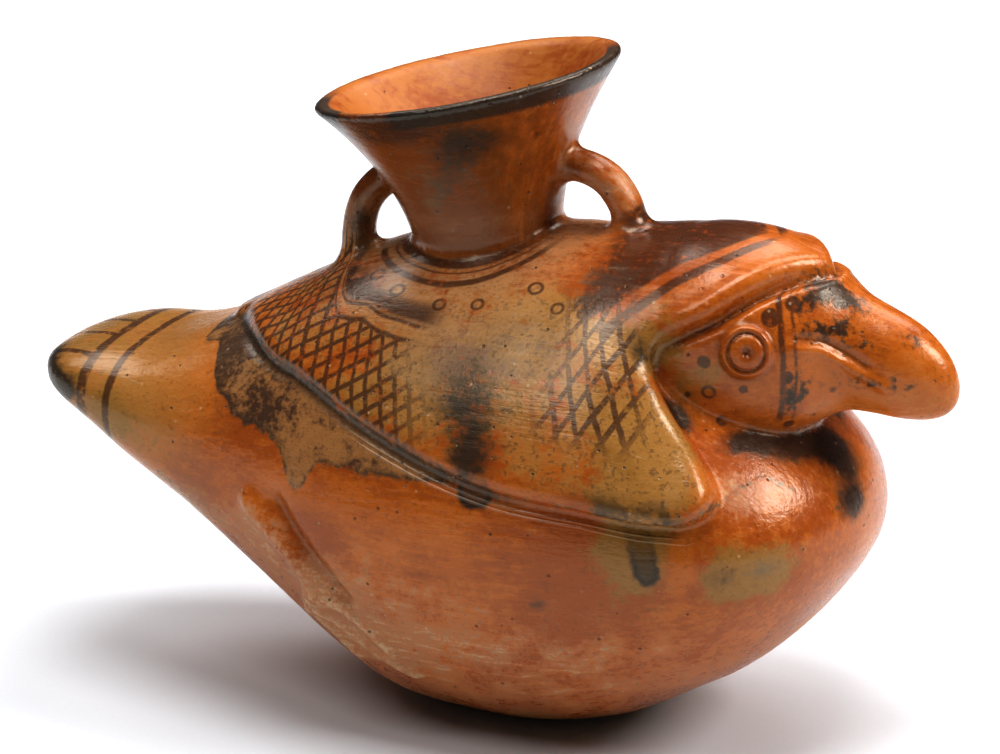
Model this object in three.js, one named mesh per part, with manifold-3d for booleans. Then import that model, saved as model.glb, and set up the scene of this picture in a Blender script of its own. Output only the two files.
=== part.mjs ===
import * as THREE from "three";
import { mergeVertices } from "three/addons/utils/BufferGeometryUtils.js";
import Module from "manifold-3d";

const wasm = await Module();
wasm.setup();

// A bird-shaped ceramic jar with a flaring neck and two loop handles, in millimetres.
// +X runs to the beak, +Y to the bird's left and +Z up. The origin is the middle of the flat underside.

// Body, from tail to breast: station along X, keel height, girth height, back height, half width.
// All stations count from the breast's own zero; the finished jar is moved so that its underside is centred.
const BODY_ROWS = [
  [-162, 80, 86, 92, 31],
  [-140, 69, 82, 95, 35],
  [-128, 61, 78, 96, 39],
  [-105, 46.5, 73, 103.5, 46],
  [-80, 27.5, 69, 116, 54],
  [-58, 11, 66, 127, 61],
  [-40, 1.2, 64, 133, 65],
  [-20, -1.2, 63, 136, 67],
  [5, -0.8, 63, 138, 67],
  [25, 4, 64, 135, 65],
  [52, 18, 65, 108, 60],
  [90, 39, 65, 94, 54],
];
const TAIL = { end: -162, length: 26, power: 2.6 };
const BREAST = { end: 90, length: 38, power: 2.05 };
const SECTION_UPPER = [
  [-162, 2.8],
  [-110, 2.5],
  [-60, 2.0],
  [0, 1.85],
  [90, 2.0],
];
const SECTION_LOWER = [
  [-162, 2.3],
  [-110, 2.1],
  [-60, 2.05],
  [0, 2.15],
  [90, 2.1],
];
const WALL = 6;
const UNDERSIDE_X = -12;

// Head and beak, with the same columns as the body.
const HEAD_ROWS = [
  [0, 88, 118, 142, 33],
  [40, 88, 118, 143, 33],
  [86, 88, 118, 143.5, 29],
];
const NAPE = { end: 0, length: 40, power: 2.6 };
const CHIN = { end: 86, length: 46, power: 2.6 };
const JAW_SECTION = 2.5;
const HEAD_WALL = 9;
const BEAK_ROWS = [
  [60, 97, 118, 139, 24],
  [77, 99, 118.5, 138, 18],
  [84, 99.5, 116.5, 133.5, 15.5],
  [95.5, 99, 113.8, 128.6, 12.5],
  [106, 97, 111, 125, 10.8],
  [115, 94, 108, 122, 9],
];
const BEAK_ROOT = { end: 58, length: 12, power: 2.1 };
const BEAK_TIP = { end: 115, length: 20, power: 2.1 };

// Wing pads: angle of the lower edge and of the leading edge round the body's section, in degrees.
const WING_LOWER = [
  [-105, 86],
  [-97, 77],
  [-89, 63],
  [-79, 48.5],
  [-62, 37.5],
  [-46, 30],
  [-25, 23.5],
  [7, 17],
  [28, 15.5],
  [50, 18.5],
  [58, 21.5],
  [62, 26],
  [64, 31],
];
const WING_LEADING = [
  [34, 68],
  [38, 57],
  [44, 52.5],
  [55, 45.5],
  [60, 40],
  [64, 33],
];
const WING_THICK = [
  [-105, 2.2],
  [-60, 3],
  [0, 4],
  [40, 6.5],
  [64, 8],
];
const PAD_ROUNDING = 0.55;
const BACK_ANGLE = 94;

// Hood over the face: angle of the brow edge round the head's section, in degrees.
const BROW = [
  [12, 2],
  [36, 4],
  [44, 15],
  [55, 30],
  [63, 47],
  [72, 68],
  [75.5, 78],
];
const HOOD_THICK = [
  [12, 0.4],
  [28, 2],
  [42, 4],
  [75.5, 3.4],
];

// Neck, flaring to a rim that rises to the front.
const NECK_X = -25.5;
const NECK_Z = 131;
const NECK_RISE = 51;
const NECK_RADIUS = 21;
const NECK_WALL = 6;
const RIM_X = -33;
const RIM_RADIUS = 45.6;
const RIM_WALL = 4.6;
const RIM_SLOPE = 0.21;
const FLARE_POWER = 1.85;
const LEAN_BOW = 0.5;
const BORE_DEPTH = 14;

// Loop handles on the midline: path points as X and Z, half width across and half thickness.
const FRONT_HANDLE = [
  [-8, 159],
  [2, 159.5],
  [9.6, 156.8],
  [14.3, 151.7],
  [16.6, 146],
  [17.5, 136],
];
const BACK_HANDLE = [
  [-46, 152.5],
  [-56.5, 150],
  [-63.6, 143.7],
  [-66.6, 136],
  [-67.2, 127],
  [-67.2, 116],
];
const HANDLE_WIDTH = 5.8;
const HANDLE_THICK = 4.7;

// Eye rings, feet and mouth ridge.
const EYE_X = 63.5;
const EYE_ANGLE = 8;
const EYE_PROFILE = [
  [0, -5],
  [7, -5],
  [7, 0.9],
  [6, 1.6],
  [5, 1.2],
  [4.3, 2.2],
  [1.8, 2.2],
  [0, 3],
];
const LEG = [
  [-75, -3],
  [-66, -10],
  [-58, -17],
  [-54, -26],
];
const TOES = [
  [
    [-55, -26],
    [-41, -24],
    [-29, -29],
  ],
  [
    [-55, -28],
    [-41, -30.5],
    [-27, -37],
  ],
  [
    [-55, -30],
    [-46, -37],
    [-36, -44],
  ],
];
const LEG_RADIUS = 5;
const LEG_SUNK = 3.2;
const TOE_RADIUS = 3.6;
const TOE_SUNK = 2.2;
const MOUTH = [
  [74, 14],
  [86, 8],
  [98, -14],
];
const MOUTH_RADIUS = 2;
const MOUTH_SUNK = 1.1;

const CLAY = { color: 0xb5622f, roughness: 0.42, metalness: 0 };

const DEGREE = Math.PI / 180;
const up = new THREE.Vector3(0, 1, 0);

// A smooth curve through the rows, as a function of their first column.
function curve(rows, column = 1) {
  const x = rows.map((row) => row[0]);
  const y = rows.map((row) => row[column]);
  const last = x.length - 1;
  const rise = (i) => (y[i + 1] - y[i]) / (x[i + 1] - x[i]);
  const slope = y.map((_, i) => {
    if (i === 0) return rise(0);
    if (i === last) return rise(last - 1);
    const before = x[i] - x[i - 1];
    const after = x[i + 1] - x[i];
    return (rise(i - 1) * after + rise(i) * before) / (before + after);
  });
  return (at) => {
    const p = Math.min(Math.max(at, x[0]), x[last]);
    let i = 0;
    while (i < last - 1 && p > x[i + 1]) i += 1;
    const step = x[i + 1] - x[i];
    const t = (p - x[i]) / step;
    const s = 1 - t;
    return (
      (1 + 2 * t) * s * s * y[i] +
      t * s * s * step * slope[i] +
      t * t * (3 - 2 * t) * y[i + 1] -
      t * t * s * step * slope[i + 1]
    );
  };
}

const power = (value, exponent) => Math.sign(value) * Math.abs(value) ** exponent;

// A rounded form along X whose sections are superellipses that close at both ends.
class Form {
  constructor(rows, rear, front, upper = () => 2, lower = () => 2) {
    [this.bottom, this.middle, this.top, this.half] = [1, 2, 3, 4].map((column) => curve(rows, column));
    Object.assign(this, { rear, front, upper, lower });
  }

  closing(x, grow) {
    const rear = (this.rear.end + this.rear.length - x) / (this.rear.length + grow);
    const front = (x - this.front.end + this.front.length) / (this.front.length + grow);
    const [u, p] = rear > front ? [rear, this.rear.power] : [front, this.front.power];
    return u > 0 ? Math.max(1 - u ** p, 0) ** (1 / p) : 1;
  }

  at(x, angle, grow = 0) {
    const scale = this.closing(x, grow);
    const s = Math.sin(angle);
    const n = s > 0 ? this.upper(x) : this.lower(x);
    const middle = this.middle(x);
    const height = s > 0 ? this.top(x) - middle : middle - this.bottom(x);
    return new THREE.Vector3(
      x,
      -(this.half(x) + grow) * scale * power(Math.cos(angle), 2 / n),
      middle + (height + grow) * scale * power(s, 2 / n),
    );
  }

  normal(x, angle) {
    const along = this.at(x + 0.5, angle).sub(this.at(x - 0.5, angle));
    const round = this.at(x, angle + 0.02).sub(this.at(x, angle - 0.02));
    return along.cross(round).normalize();
  }

  raised(x, angle, height) {
    return this.at(x, angle).addScaledVector(this.normal(x, angle), height);
  }

  // Stations along X, closer together where the ends round off.
  stations(rings, cap, grow) {
    const turn = (i, end) => Math.cos((i / cap) * 0.5 * Math.PI) ** (2 / end.power);
    const rear = (i) => this.rear.end + this.rear.length - (this.rear.length + grow) * turn(i, this.rear);
    const front = (i) => this.front.end - this.front.length + (this.front.length + grow) * turn(i, this.front);
    const caps = Array.from({ length: cap }, (_, i) => i + 1);
    const middle = steps(rear(cap), front(cap), rings).slice(1, -1);
    return [...caps.map(rear), ...middle, ...caps.map(front).reverse()];
  }

  solid(rings, cap, around, grow = 0) {
    const from = this.rear.end - grow;
    const to = this.front.end + grow;
    const stations = this.stations(rings, cap, grow);
    const points = [this.at(from, 0, grow)];
    for (const x of stations) {
      for (let j = 0; j < around; j += 1) points.push(this.at(x, (2 * Math.PI * j) / around, grow));
    }
    points.push(this.at(to, 0, grow));
    const node = (i, j) => 1 + (i - 1) * around + (j % around);
    const faces = [];
    for (let j = 0; j < around; j += 1) {
      faces.push(0, node(1, j), node(1, j + 1));
      for (let i = 1; i < stations.length; i += 1) {
        faces.push(node(i, j), node(i + 1, j), node(i, j + 1));
        faces.push(node(i, j + 1), node(i + 1, j), node(i + 1, j + 1));
      }
      faces.push(node(stations.length, j), points.length - 1, node(stations.length, j + 1));
    }
    return solid(points, faces);
  }
}

// A closed surface from points and triangles, turned to face outwards.
function solid(points, faces) {
  const volume = faces.reduce((sum, _, k) => {
    if (k % 3) return sum;
    const [a, b, c] = [points[faces[k]], points[faces[k + 1]], points[faces[k + 2]]];
    return sum + a.dot(b.clone().cross(c));
  }, 0);
  const triVerts = new Uint32Array(faces);
  if (volume < 0) triVerts.reverse();
  const vertProperties = new Float32Array(points.flatMap((p) => p.toArray()));
  return new wasm.Manifold(new wasm.Mesh({ numProp: 3, vertProperties, triVerts }));
}

function solidOf(geometry) {
  geometry.deleteAttribute("normal");
  geometry.deleteAttribute("uv");
  const merged = mergeVertices(geometry, 1e-3);
  const position = merged.attributes.position;
  const points = Array.from({ length: position.count }, (_, i) => new THREE.Vector3().fromBufferAttribute(position, i));
  return solid(points, Array.from(merged.index.array));
}

// A pad laid on a form between two edge angles, rounded along its borders.
function pad(form, xs, low, high, thick, isOpen, side) {
  const wide = [0, 0.025, 0.065, 0.13, 0.24, 0.4, 0.6, 0.8, 1];
  const narrow = [0, 0.05, 0.14, 0.3, 0.5, 0.7, 0.86, 0.95, 1];
  const last = wide.length - 1;
  const outer = [];
  const inner = [];
  for (const x of xs) {
    const [a, b] = [low(x) * DEGREE, high(x) * DEGREE];
    const angles = (isOpen(x) ? wide : narrow).map((f) => a + (b - a) * f);
    const line = angles.map((angle) => form.at(x, angle));
    const run = [0];
    for (let j = 1; j <= last; j += 1) run.push(run[j - 1] + line[j].distanceTo(line[j - 1]));
    angles.forEach((angle, j) => {
      const border = isOpen(x) ? run[j] : Math.min(run[j], run[last] - run[j]);
      const ends = 1.2 * Math.min(x - xs[0], xs[xs.length - 1] - x);
      const depth = Math.min(Math.min(border, ends) / (PAD_ROUNDING * thick(x)), 1);
      const height = thick(x) * Math.sqrt(1 - (1 - depth) ** 2);
      outer.push(form.raised(x, angle, height));
      inner.push(form.raised(x, angle, -WALL / 2));
    });
  }
  const points = [...outer, ...inner];
  points.forEach((p) => (p.y *= side));
  const row = last + 1;
  const deep = outer.length;
  const faces = [];
  const quad = (a, b, c, d) => faces.push(a, b, c, a, c, d);
  for (let i = 0; i < xs.length - 1; i += 1) {
    for (let j = 0; j < last; j += 1) {
      const k = i * row + j;
      quad(k, k + 1, k + row + 1, k + row);
      quad(deep + k, deep + k + row, deep + k + row + 1, deep + k + 1);
    }
    const [k, m] = [i * row, i * row + last];
    quad(k, k + row, deep + k + row, deep + k);
    quad(m, deep + m, deep + m + row, m + row);
  }
  for (let j = 0; j < last; j += 1) {
    const m = (xs.length - 1) * row + j;
    quad(j, deep + j, deep + j + 1, j + 1);
    quad(m, m + 1, deep + m + 1, deep + m);
  }
  return solid(points, faces);
}

// A rod of elliptical section along a path.
function rod(path, across, thick, steps, segments) {
  const shape = new THREE.Shape().absellipse(0, 0, across, thick, 0, 2 * Math.PI);
  const options = { steps, curveSegments: segments, bevelEnabled: false, extrudePath: path };
  return solidOf(new THREE.ExtrudeGeometry(shape, options));
}

function ridge(form, line, radius, sunk, side) {
  const points = line.map(([x, angle]) => form.raised(x, angle * DEGREE, -sunk));
  points.forEach((p) => (p.y *= side));
  return rod(new THREE.CatmullRomCurve3(points), radius, radius, 5, 4);
}

// The neck's own heights run from 0 at the shoulder to 1 at the rim, which leans back and rises to the front.
function neckSolid(profile) {
  const points = profile.map(([r, t]) => new THREE.Vector2(r, t * NECK_RISE));
  const geometry = new THREE.LatheGeometry(points, 36).rotateX(Math.PI / 2);
  const position = geometry.attributes.position;
  for (let i = 0; i < position.count; i += 1) {
    const x = position.getX(i);
    const t = position.getZ(i) / NECK_RISE;
    const rise = t * (NECK_RISE + RIM_SLOPE * x);
    const lean = (RIM_X - NECK_X) * (rise / NECK_RISE) * (1 + LEAN_BOW * (1 - t));
    position.setXYZ(i, x + NECK_X + lean, position.getY(i), NECK_Z + rise);
  }
  return solidOf(geometry);
}

const flare = (t) => NECK_RADIUS + (RIM_RADIUS - NECK_RADIUS) * Math.max(t, 0) ** FLARE_POWER;
const neckWall = (t) => NECK_WALL + (RIM_WALL - NECK_WALL) * Math.min(Math.max(t, 0), 1);

function neckProfiles() {
  const heights = [0, 0.2, 0.4, 0.6, 0.78, 0.92];
  const foot = -BORE_DEPTH / NECK_RISE;
  const lip = RIM_WALL / 2;
  const crest = RIM_RADIUS - lip * 1.25;
  const arc = [0.4, 1];
  const lipTop = 1 - lip / NECK_RISE;
  const outside = heights.map((t) => [flare(t), t]);
  const inside = heights.map((t) => [flare(t) - neckWall(t), t]);
  const rise = (a) => lipTop + (Math.sin(a) * lip) / NECK_RISE;
  const outerLip = arc.map((a) => [crest + Math.cos(a) * lip, rise(a)]);
  const innerLip = arc.map((a) => [crest - Math.cos(a) * lip, rise(a)]);
  const outer = [[0, -0.2], [NECK_RADIUS, -0.2], ...outside, ...outerLip, [crest, 1], [0, 1]];
  const bore = [[0, foot], [inside[0][0], foot], ...inside, ...innerLip, [crest - 0.1, 1.02], [0, 1.02]];
  return { outer, bore };
}

function steps(from, to, count) {
  return Array.from({ length: count + 1 }, (_, i) => from + ((to - from) * i) / count);
}

const join = (solids) => solids.reduce((all, next) => all.add(next));
const both = (make) => [make(1), make(-1)];

function eye(head, side) {
  const points = EYE_PROFILE.map(([r, h]) => new THREE.Vector2(r, h));
  const normal = head.normal(EYE_X, EYE_ANGLE * DEGREE);
  const turn = new THREE.Quaternion().setFromUnitVectors(up, normal);
  const geometry = new THREE.LatheGeometry(points, 16);
  geometry.applyQuaternion(turn).translate(...head.at(EYE_X, EYE_ANGLE * DEGREE).toArray());
  return solidOf(geometry.scale(1, side, 1));
}

function loop(path) {
  const points = path.map(([x, z]) => new THREE.Vector3(x, 0, z));
  return rod(new THREE.CatmullRomCurve3(points), HANDLE_WIDTH, HANDLE_THICK, 12, 6);
}

function floorBlock() {
  const block = new THREE.BoxGeometry(400, 300, 20).translate(0, 0, -10);
  return solidOf(block);
}

function buildVessel() {
  const body = new Form(BODY_ROWS, TAIL, BREAST, curve(SECTION_UPPER), curve(SECTION_LOWER));
  const head = new Form(HEAD_ROWS, NAPE, CHIN, () => 2, () => JAW_SECTION);
  const beak = new Form(BEAK_ROWS, BEAK_ROOT, BEAK_TIP, () => 2.1, () => 2.1);
  const neck = neckProfiles();

  const lower = curve(WING_LOWER);
  const leading = curve(WING_LEADING);
  const isBack = (x) => x < WING_LEADING[0][0];
  const wingTop = (x) => (isBack(x) ? BACK_ANGLE : leading(x));
  const wingX = [...steps(-105, 32, 14), 36, 42, 48, 53, 57, 60, 62.4, 64];
  const wings = both((side) => pad(body, wingX, lower, wingTop, curve(WING_THICK), isBack, side));

  const brow = curve(BROW);
  const browX = steps(BROW[0][0], BROW[BROW.length - 1][0], 14);
  const hood = both((side) => pad(head, browX, brow, () => BACK_ANGLE, curve(HOOD_THICK), () => true, side));

  const legs = both((side) => ridge(body, LEG, LEG_RADIUS, LEG_SUNK, side));
  const toes = TOES.flatMap((toe) => both((side) => ridge(body, toe, TOE_RADIUS, TOE_SUNK, side)));
  const mouth = both((side) => ridge(beak, MOUTH, MOUTH_RADIUS, MOUTH_SUNK, side));
  const eyes = both((side) => eye(head, side));

  const outside = join([
    body.solid(16, 6, 36),
    ...wings,
    head.solid(1, 6, 24),
    ...hood,
    beak.solid(5, 4, 20),
    ...mouth,
    ...eyes,
    ...legs,
    ...toes,
    neckSolid(neck.outer),
    loop(FRONT_HANDLE),
    loop(BACK_HANDLE),
  ]);
  const inside = join([body.solid(10, 4, 24, -WALL), head.solid(1, 4, 16, -HEAD_WALL), neckSolid(neck.bore)]);
  return outside.subtract(inside).subtract(floorBlock());
}

function meshOf(name, body) {
  const { numProp, vertProperties, triVerts } = body.getMesh();
  const position = new Float32Array((vertProperties.length / numProp) * 3);
  for (let i = 0; i < position.length / 3; i += 1) {
    position.set(vertProperties.subarray(i * numProp, i * numProp + 3), i * 3);
  }
  const geometry = new THREE.BufferGeometry();
  geometry.setAttribute("position", new THREE.BufferAttribute(position, 3));
  geometry.setIndex(new THREE.BufferAttribute(triVerts, 1));
  geometry.translate(-UNDERSIDE_X, 0, 0);
  geometry.computeVertexNormals();
  const mesh = new THREE.Mesh(geometry, new THREE.MeshStandardMaterial(CLAY));
  mesh.name = name;
  return mesh;
}

const part = new THREE.Group();
part.name = "bird_effigy_jar";
part.add(meshOf("bird_vessel", buildVessel()));

export default part;
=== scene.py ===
"""Dressed model of a bird effigy jar: one hollow form of burnished orange clay with painted lines and fire clouds."""

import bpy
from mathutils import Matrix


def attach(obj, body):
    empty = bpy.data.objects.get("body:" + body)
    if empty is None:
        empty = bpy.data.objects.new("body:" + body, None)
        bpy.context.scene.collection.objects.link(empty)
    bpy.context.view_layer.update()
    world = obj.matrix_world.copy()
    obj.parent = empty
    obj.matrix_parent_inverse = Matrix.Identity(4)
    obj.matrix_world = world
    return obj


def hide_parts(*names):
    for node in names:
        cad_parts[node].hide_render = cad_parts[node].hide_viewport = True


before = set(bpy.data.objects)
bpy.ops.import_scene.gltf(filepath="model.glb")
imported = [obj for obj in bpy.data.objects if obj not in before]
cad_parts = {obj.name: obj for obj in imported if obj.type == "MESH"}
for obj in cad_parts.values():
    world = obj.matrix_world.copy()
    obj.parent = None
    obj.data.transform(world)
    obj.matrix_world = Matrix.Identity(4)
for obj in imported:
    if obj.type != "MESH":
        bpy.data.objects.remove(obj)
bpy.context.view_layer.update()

import logging
import math
from dataclasses import dataclass, field
from enum import Enum
from typing import Callable, Sequence

import bpy
import numpy as np
from mathutils import Vector

log = logging.getLogger("bird_jar")

Rows = Sequence[Sequence[float]]
Points = np.ndarray
Values = np.ndarray

MM = 0.001
# Sizes are in millimetres on the bird's own stations; the finished jar stands with its flat spot at the origin.
STATION_SHIFT = 12.0
FAR = 60.0


def smooth_min(a: Values, b: Values, blend: float) -> Values:
    """Lower of two distances, with a fillet of the given size where they meet."""
    h = np.clip(0.5 + 0.5 * (b - a) / blend, 0.0, 1.0)
    return b * (1 - h) + a * h - blend * h * (1 - h)


def smooth_max(a: Values, b: Values, blend: float) -> Values:
    """Higher of two distances, with a rounding of the given size where they meet."""
    return -smooth_min(-a, -b, blend)


def smooth_step(value: Values, low: float, high: float) -> Values:
    """Share from 0 at low to 1 at high, eased at both ends."""
    t = np.clip((value - low) / (high - low), 0.0, 1.0)
    return t * t * (3 - 2 * t)


def on_right(p: Points) -> Points:
    """The points, with those of the bird's left side brought over to its right."""
    return np.stack([p[:, 0], -np.abs(p[:, 1]), p[:, 2]], 1)


class Curve:
    """A smooth curve through rows of numbers, as a function of their first column."""

    def __init__(self, rows: Rows, column: int = 1) -> None:
        """Args: rows: the points; column: which column is the curve's value."""
        table = np.asarray(rows, float)
        self.x = table[:, 0]
        self.y = table[:, column]
        self.step = np.diff(self.x)
        rise = np.diff(self.y) / self.step
        self.slope = np.empty_like(self.y)
        self.slope[0], self.slope[-1] = rise[0], rise[-1]
        before, after = self.step[:-1], self.step[1:]
        self.slope[1:-1] = (rise[:-1] * after + rise[1:] * before) / (before + after)

    def __call__(self, at: Values) -> Values:
        """Value of the curve at each place, held constant beyond its ends."""
        p = np.clip(at, self.x[0], self.x[-1])
        i = np.clip(np.searchsorted(self.x, p) - 1, 0, len(self.x) - 2)
        t = (p - self.x[i]) / self.step[i]
        s = 1 - t
        start = (1 + 2 * t) * s * s * self.y[i] + t * s * s * self.step[i] * self.slope[i]
        end = t * t * (3 - 2 * t) * self.y[i + 1] - t * t * s * self.step[i] * self.slope[i + 1]
        return start + end

    def rate(self, at: Values) -> Values:
        """Slope of the curve at each place."""
        return self(at + 0.5) - self(at - 0.5)


def rounded_line(points: Rows, parts: int = 5) -> Points:
    """Points along a smooth line.

    Args:
        points: the line's corners, two or three numbers each.
        parts: pieces between neighbouring corners.

    Returns:
        The points of a spline through the corners.
    """
    corners = np.asarray(points, float)
    at = np.arange(len(corners), dtype=float)
    fine = np.linspace(0, len(corners) - 1, parts * (len(corners) - 1) + 1)
    columns = [Curve(np.stack([at, corners[:, i]], 1))(fine) for i in range(corners.shape[1])]
    return np.stack(columns, 1)


def distance_to_line(points: Points, line: Points) -> Values:
    """Distance from each point to a line of straight pieces, in as many dimensions as the line has."""
    nearest = np.full(len(points), 1e9)
    for start, end in zip(line[:-1], line[1:]):
        along = end - start
        offset = points - start
        share = np.clip(offset @ along / (along @ along), 0, 1)
        nearest = np.minimum(nearest, ((offset - share[:, None] * along) ** 2).sum(1))
    return np.sqrt(nearest)


@dataclass(frozen=True)
class Cap:
    """How a loft closes at one end."""

    end: float
    length: float
    power: float


@dataclass
class Loft:
    """A rounded form along X whose sections are superellipses that close at both ends."""

    rows: Rows
    rear: Cap
    front: Cap
    upper: Rows
    lower: Rows

    def __post_init__(self) -> None:
        """Make the curves of the sections."""
        self.keel, self.girth, self.back, self.half = (Curve(self.rows, i) for i in (1, 2, 3, 4))
        self.upper_power, self.lower_power = Curve(self.upper), Curve(self.lower)

    def section(self, p: Points) -> tuple[Values, Values, Values]:
        """Place in the section.

        Args:
            p: points in millimetres.

        Returns:
            Share of the half width, signed share of the height, and the section's power.
        """
        x = p[:, 0]
        girth = self.girth(x)
        rise = p[:, 2] - girth
        above = rise > 0
        height = np.where(above, self.back(x) - girth, girth - self.keel(x))
        power = np.where(above, self.upper_power(x), self.lower_power(x))
        return np.abs(p[:, 1]) / self.half(x), rise / height, power

    def level(self, p: Points) -> Values:
        """Share of the form's size at each point, less 1, so that it is 0 on the surface."""
        across, up, power = self.section(p)
        ring = (across**power + np.abs(up) ** power + 1e-12) ** (1 / power)
        x = p[:, 0]
        rear = (self.rear.end + self.rear.length - x) / self.rear.length
        front = (x - self.front.end + self.front.length) / self.front.length
        end = np.maximum(np.maximum(rear, front), 0)
        closing = np.where(rear > front, self.rear.power, self.front.power)
        return (ring**closing + end**closing) ** (1 / closing) - 1

    def distance(self, p: Points, reach: float = 0.25) -> Values:
        """Distance from the surface in millimetres, negative inside."""
        slope = np.zeros(len(p))
        for axis in np.eye(3) * reach:
            slope += ((self.level(p + axis) - self.level(p - axis)) / (2 * reach)) ** 2
        return self.level(p) / np.maximum(np.sqrt(slope), 1e-4)

    def angle(self, p: Points) -> Values:
        """Angle round the section in degrees: 0 at the girth, 90 on the back."""
        across, up, power = self.section(p)
        rise = np.sign(up) * np.abs(up) ** (power / 2)
        return np.degrees(np.arctan2(rise, across ** (power / 2)))

    def radius(self, p: Points, angle: Values) -> Values:
        """Millimetres along the section for each radian of its angle."""
        x = p[:, 0]
        turn = np.radians(angle)
        height = np.where(turn > 0, self.back(x) - self.girth(x), self.girth(x) - self.keel(x))
        return np.hypot(self.half(x) * np.sin(turn), height * np.cos(turn))

    def across_edge(self, p: Points, edge: Curve) -> Values:
        """Millimetres above an edge that is given as section angles along X."""
        angle = self.angle(p)
        radius = self.radius(p, angle)
        slant = np.radians(edge.rate(p[:, 0])) * radius
        return np.radians(angle - edge(p[:, 0])) * radius / np.sqrt(1 + slant**2)

    def point(self, x: float, angle: float) -> Values:
        """The surface point on the bird's right side at a station and section angle, away from the ends."""
        turn = math.radians(angle)
        girth = float(self.girth(np.array([x]))[0])
        tall = self.back if turn > 0 else self.keel
        height = abs(float(tall(np.array([x]))[0]) - girth)
        power = float((self.upper_power if turn > 0 else self.lower_power)(np.array([x]))[0])
        rise = math.copysign(abs(math.sin(turn)) ** (2 / power), turn) * height
        return np.array([x, -float(self.half(np.array([x]))[0]) * math.cos(turn) ** (2 / power), girth + rise])


@dataclass
class WingPads:
    """The mantle and folded wings: a pad on the body with a rounded border."""

    lower: Rows = (
        (-114, 116), (-105, 86), (-97, 77), (-89, 63), (-79, 48.5), (-62, 37.5), (-46, 30), (-25, 23.5),
        (7, 17), (28, 15.5), (50, 18.5), (58, 21.5), (62, 26), (64, 31), (70, 48),
    )
    leading: Rows = (
        (14, 200), (24, 130), (31, 84), (34, 68), (38, 57), (44, 52.5), (55, 45.5), (60, 40), (64, 33), (70, 18),
    )
    thick: Rows = ((-105, 2.2), (-60, 3), (0, 4), (40, 6.5), (64, 8))
    rounding: float = 4.2
    corner: float = 4.0

    def __post_init__(self) -> None:
        """Make the edge curves."""
        self.lower_edge, self.leading_edge, self.thickness = map(Curve, (self.lower, self.leading, self.thick))

    def borders(self, body: Loft, p: Points) -> tuple[Values, Values]:
        """Millimetres inside the lower edge and inside the leading edge."""
        return body.across_edge(p, self.lower_edge), -body.across_edge(p, self.leading_edge)

    def distance(self, body: Loft, p: Points, skin: Values) -> Values:
        """Distance from the pad.

        Args:
            body: the form that carries the pad.
            p: points in millimetres.
            skin: distance of the points from the body.

        Returns:
            Millimetres, negative inside.
        """
        low, lead = self.borders(body, p)
        outline = smooth_max(-low, -lead, self.corner)
        return smooth_max(skin - self.thickness(p[:, 0]), outline, self.rounding)

    def run(self, body: Loft, p: Points, low: Values) -> Values:
        """Millimetres along the lower edge to the foot of each point."""
        stations = np.arange(self.lower_edge.x[0], self.lower_edge.x[-1] + 1)
        edge = np.stack([stations, np.zeros_like(stations), np.zeros_like(stations)], 1)
        slant = np.radians(self.lower_edge.rate(stations)) * body.radius(edge, self.lower_edge(stations))
        length = np.cumsum(np.sqrt(1 + slant**2))
        tilt = -np.interp(p[:, 0], stations, slant)
        foot = p[:, 0] - low * tilt / np.sqrt(1 + tilt**2)
        return np.interp(foot, stations, length)


@dataclass
class Hood:
    """The hood over the head, whose brow edge overhangs the face."""

    brow: Rows = ((12, 2), (36, 4), (44, 15), (55, 30), (63, 47), (72, 68), (75.5, 78), (80, 98))
    stripe: Rows = ((16, 0), (26.7, 16), (39.6, 41), (53.6, 63), (65, 93), (72, 110))
    thick: Rows = ((12, 0.4), (28, 2), (42, 4), (75.5, 3.4))
    rounding: float = 4.5

    def __post_init__(self) -> None:
        """Make the edge curves."""
        self.brow_edge, self.stripe_line, self.thickness = map(Curve, (self.brow, self.stripe, self.thick))

    def distance(self, head: Loft, p: Points, skin: Values) -> Values:
        """Distance from the hood in millimetres, negative inside."""
        above = head.across_edge(p, self.brow_edge)
        return smooth_max(skin - self.thickness(p[:, 0]), -above, self.rounding)


@dataclass
class Neck:
    """The flaring neck, leaning back, with a rim that rises to the front."""

    foot_x: float = -25.5
    foot_z: float = 131.0
    rise: float = 51.0
    radius: float = 21.0
    wall: float = 6.0
    rim_x: float = -33.0
    rim_radius: float = 45.6
    rim_wall: float = 4.6
    rim_slope: float = 0.21
    flare_power: float = 1.85
    lean_bow: float = 0.5
    wall_depth: float = 12.0
    bore_depth: float = 14.0

    def place(self, p: Points) -> tuple[Values, Values]:
        """Distance from the neck's own axis, and share of its height."""
        rise = p[:, 2] - self.foot_z
        share = rise / self.rise
        for _ in range(4):
            bow = 1 + self.lean_bow * (1 - np.clip(share, 0, 1))
            out = p[:, 0] - self.foot_x - (self.rim_x - self.foot_x) * rise / self.rise * bow
            share = rise / (self.rise + self.rim_slope * out)
        return np.hypot(out, p[:, 1]), share

    def flare(self, share: Values) -> Values:
        """Outer radius at a share of the height."""
        return self.radius + (self.rim_radius - self.radius) * np.clip(share, 0, 1.15) ** self.flare_power

    def distances(self, p: Points) -> tuple[Values, Values]:
        """Distance from the neck's wall and from its bore."""
        radius, share = self.place(p)
        slope = (self.flare(share + 0.01) - self.flare(share - 0.01)) / (0.02 * self.rise)
        side = (radius - self.flare(share)) / np.sqrt(1 + slope**2)
        half = 0.5 * (self.wall + (self.rim_wall - self.wall) * np.clip(share, 0, 1))
        over = np.maximum((share - 1) * self.rise + 0.5 * self.rim_wall, 0)
        wall = np.maximum(np.hypot(side + half, over) - half, self.foot_z - self.wall_depth - p[:, 2])
        bore = np.maximum(side + 2 * half, self.foot_z - self.bore_depth - p[:, 2])
        return wall, bore


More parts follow.
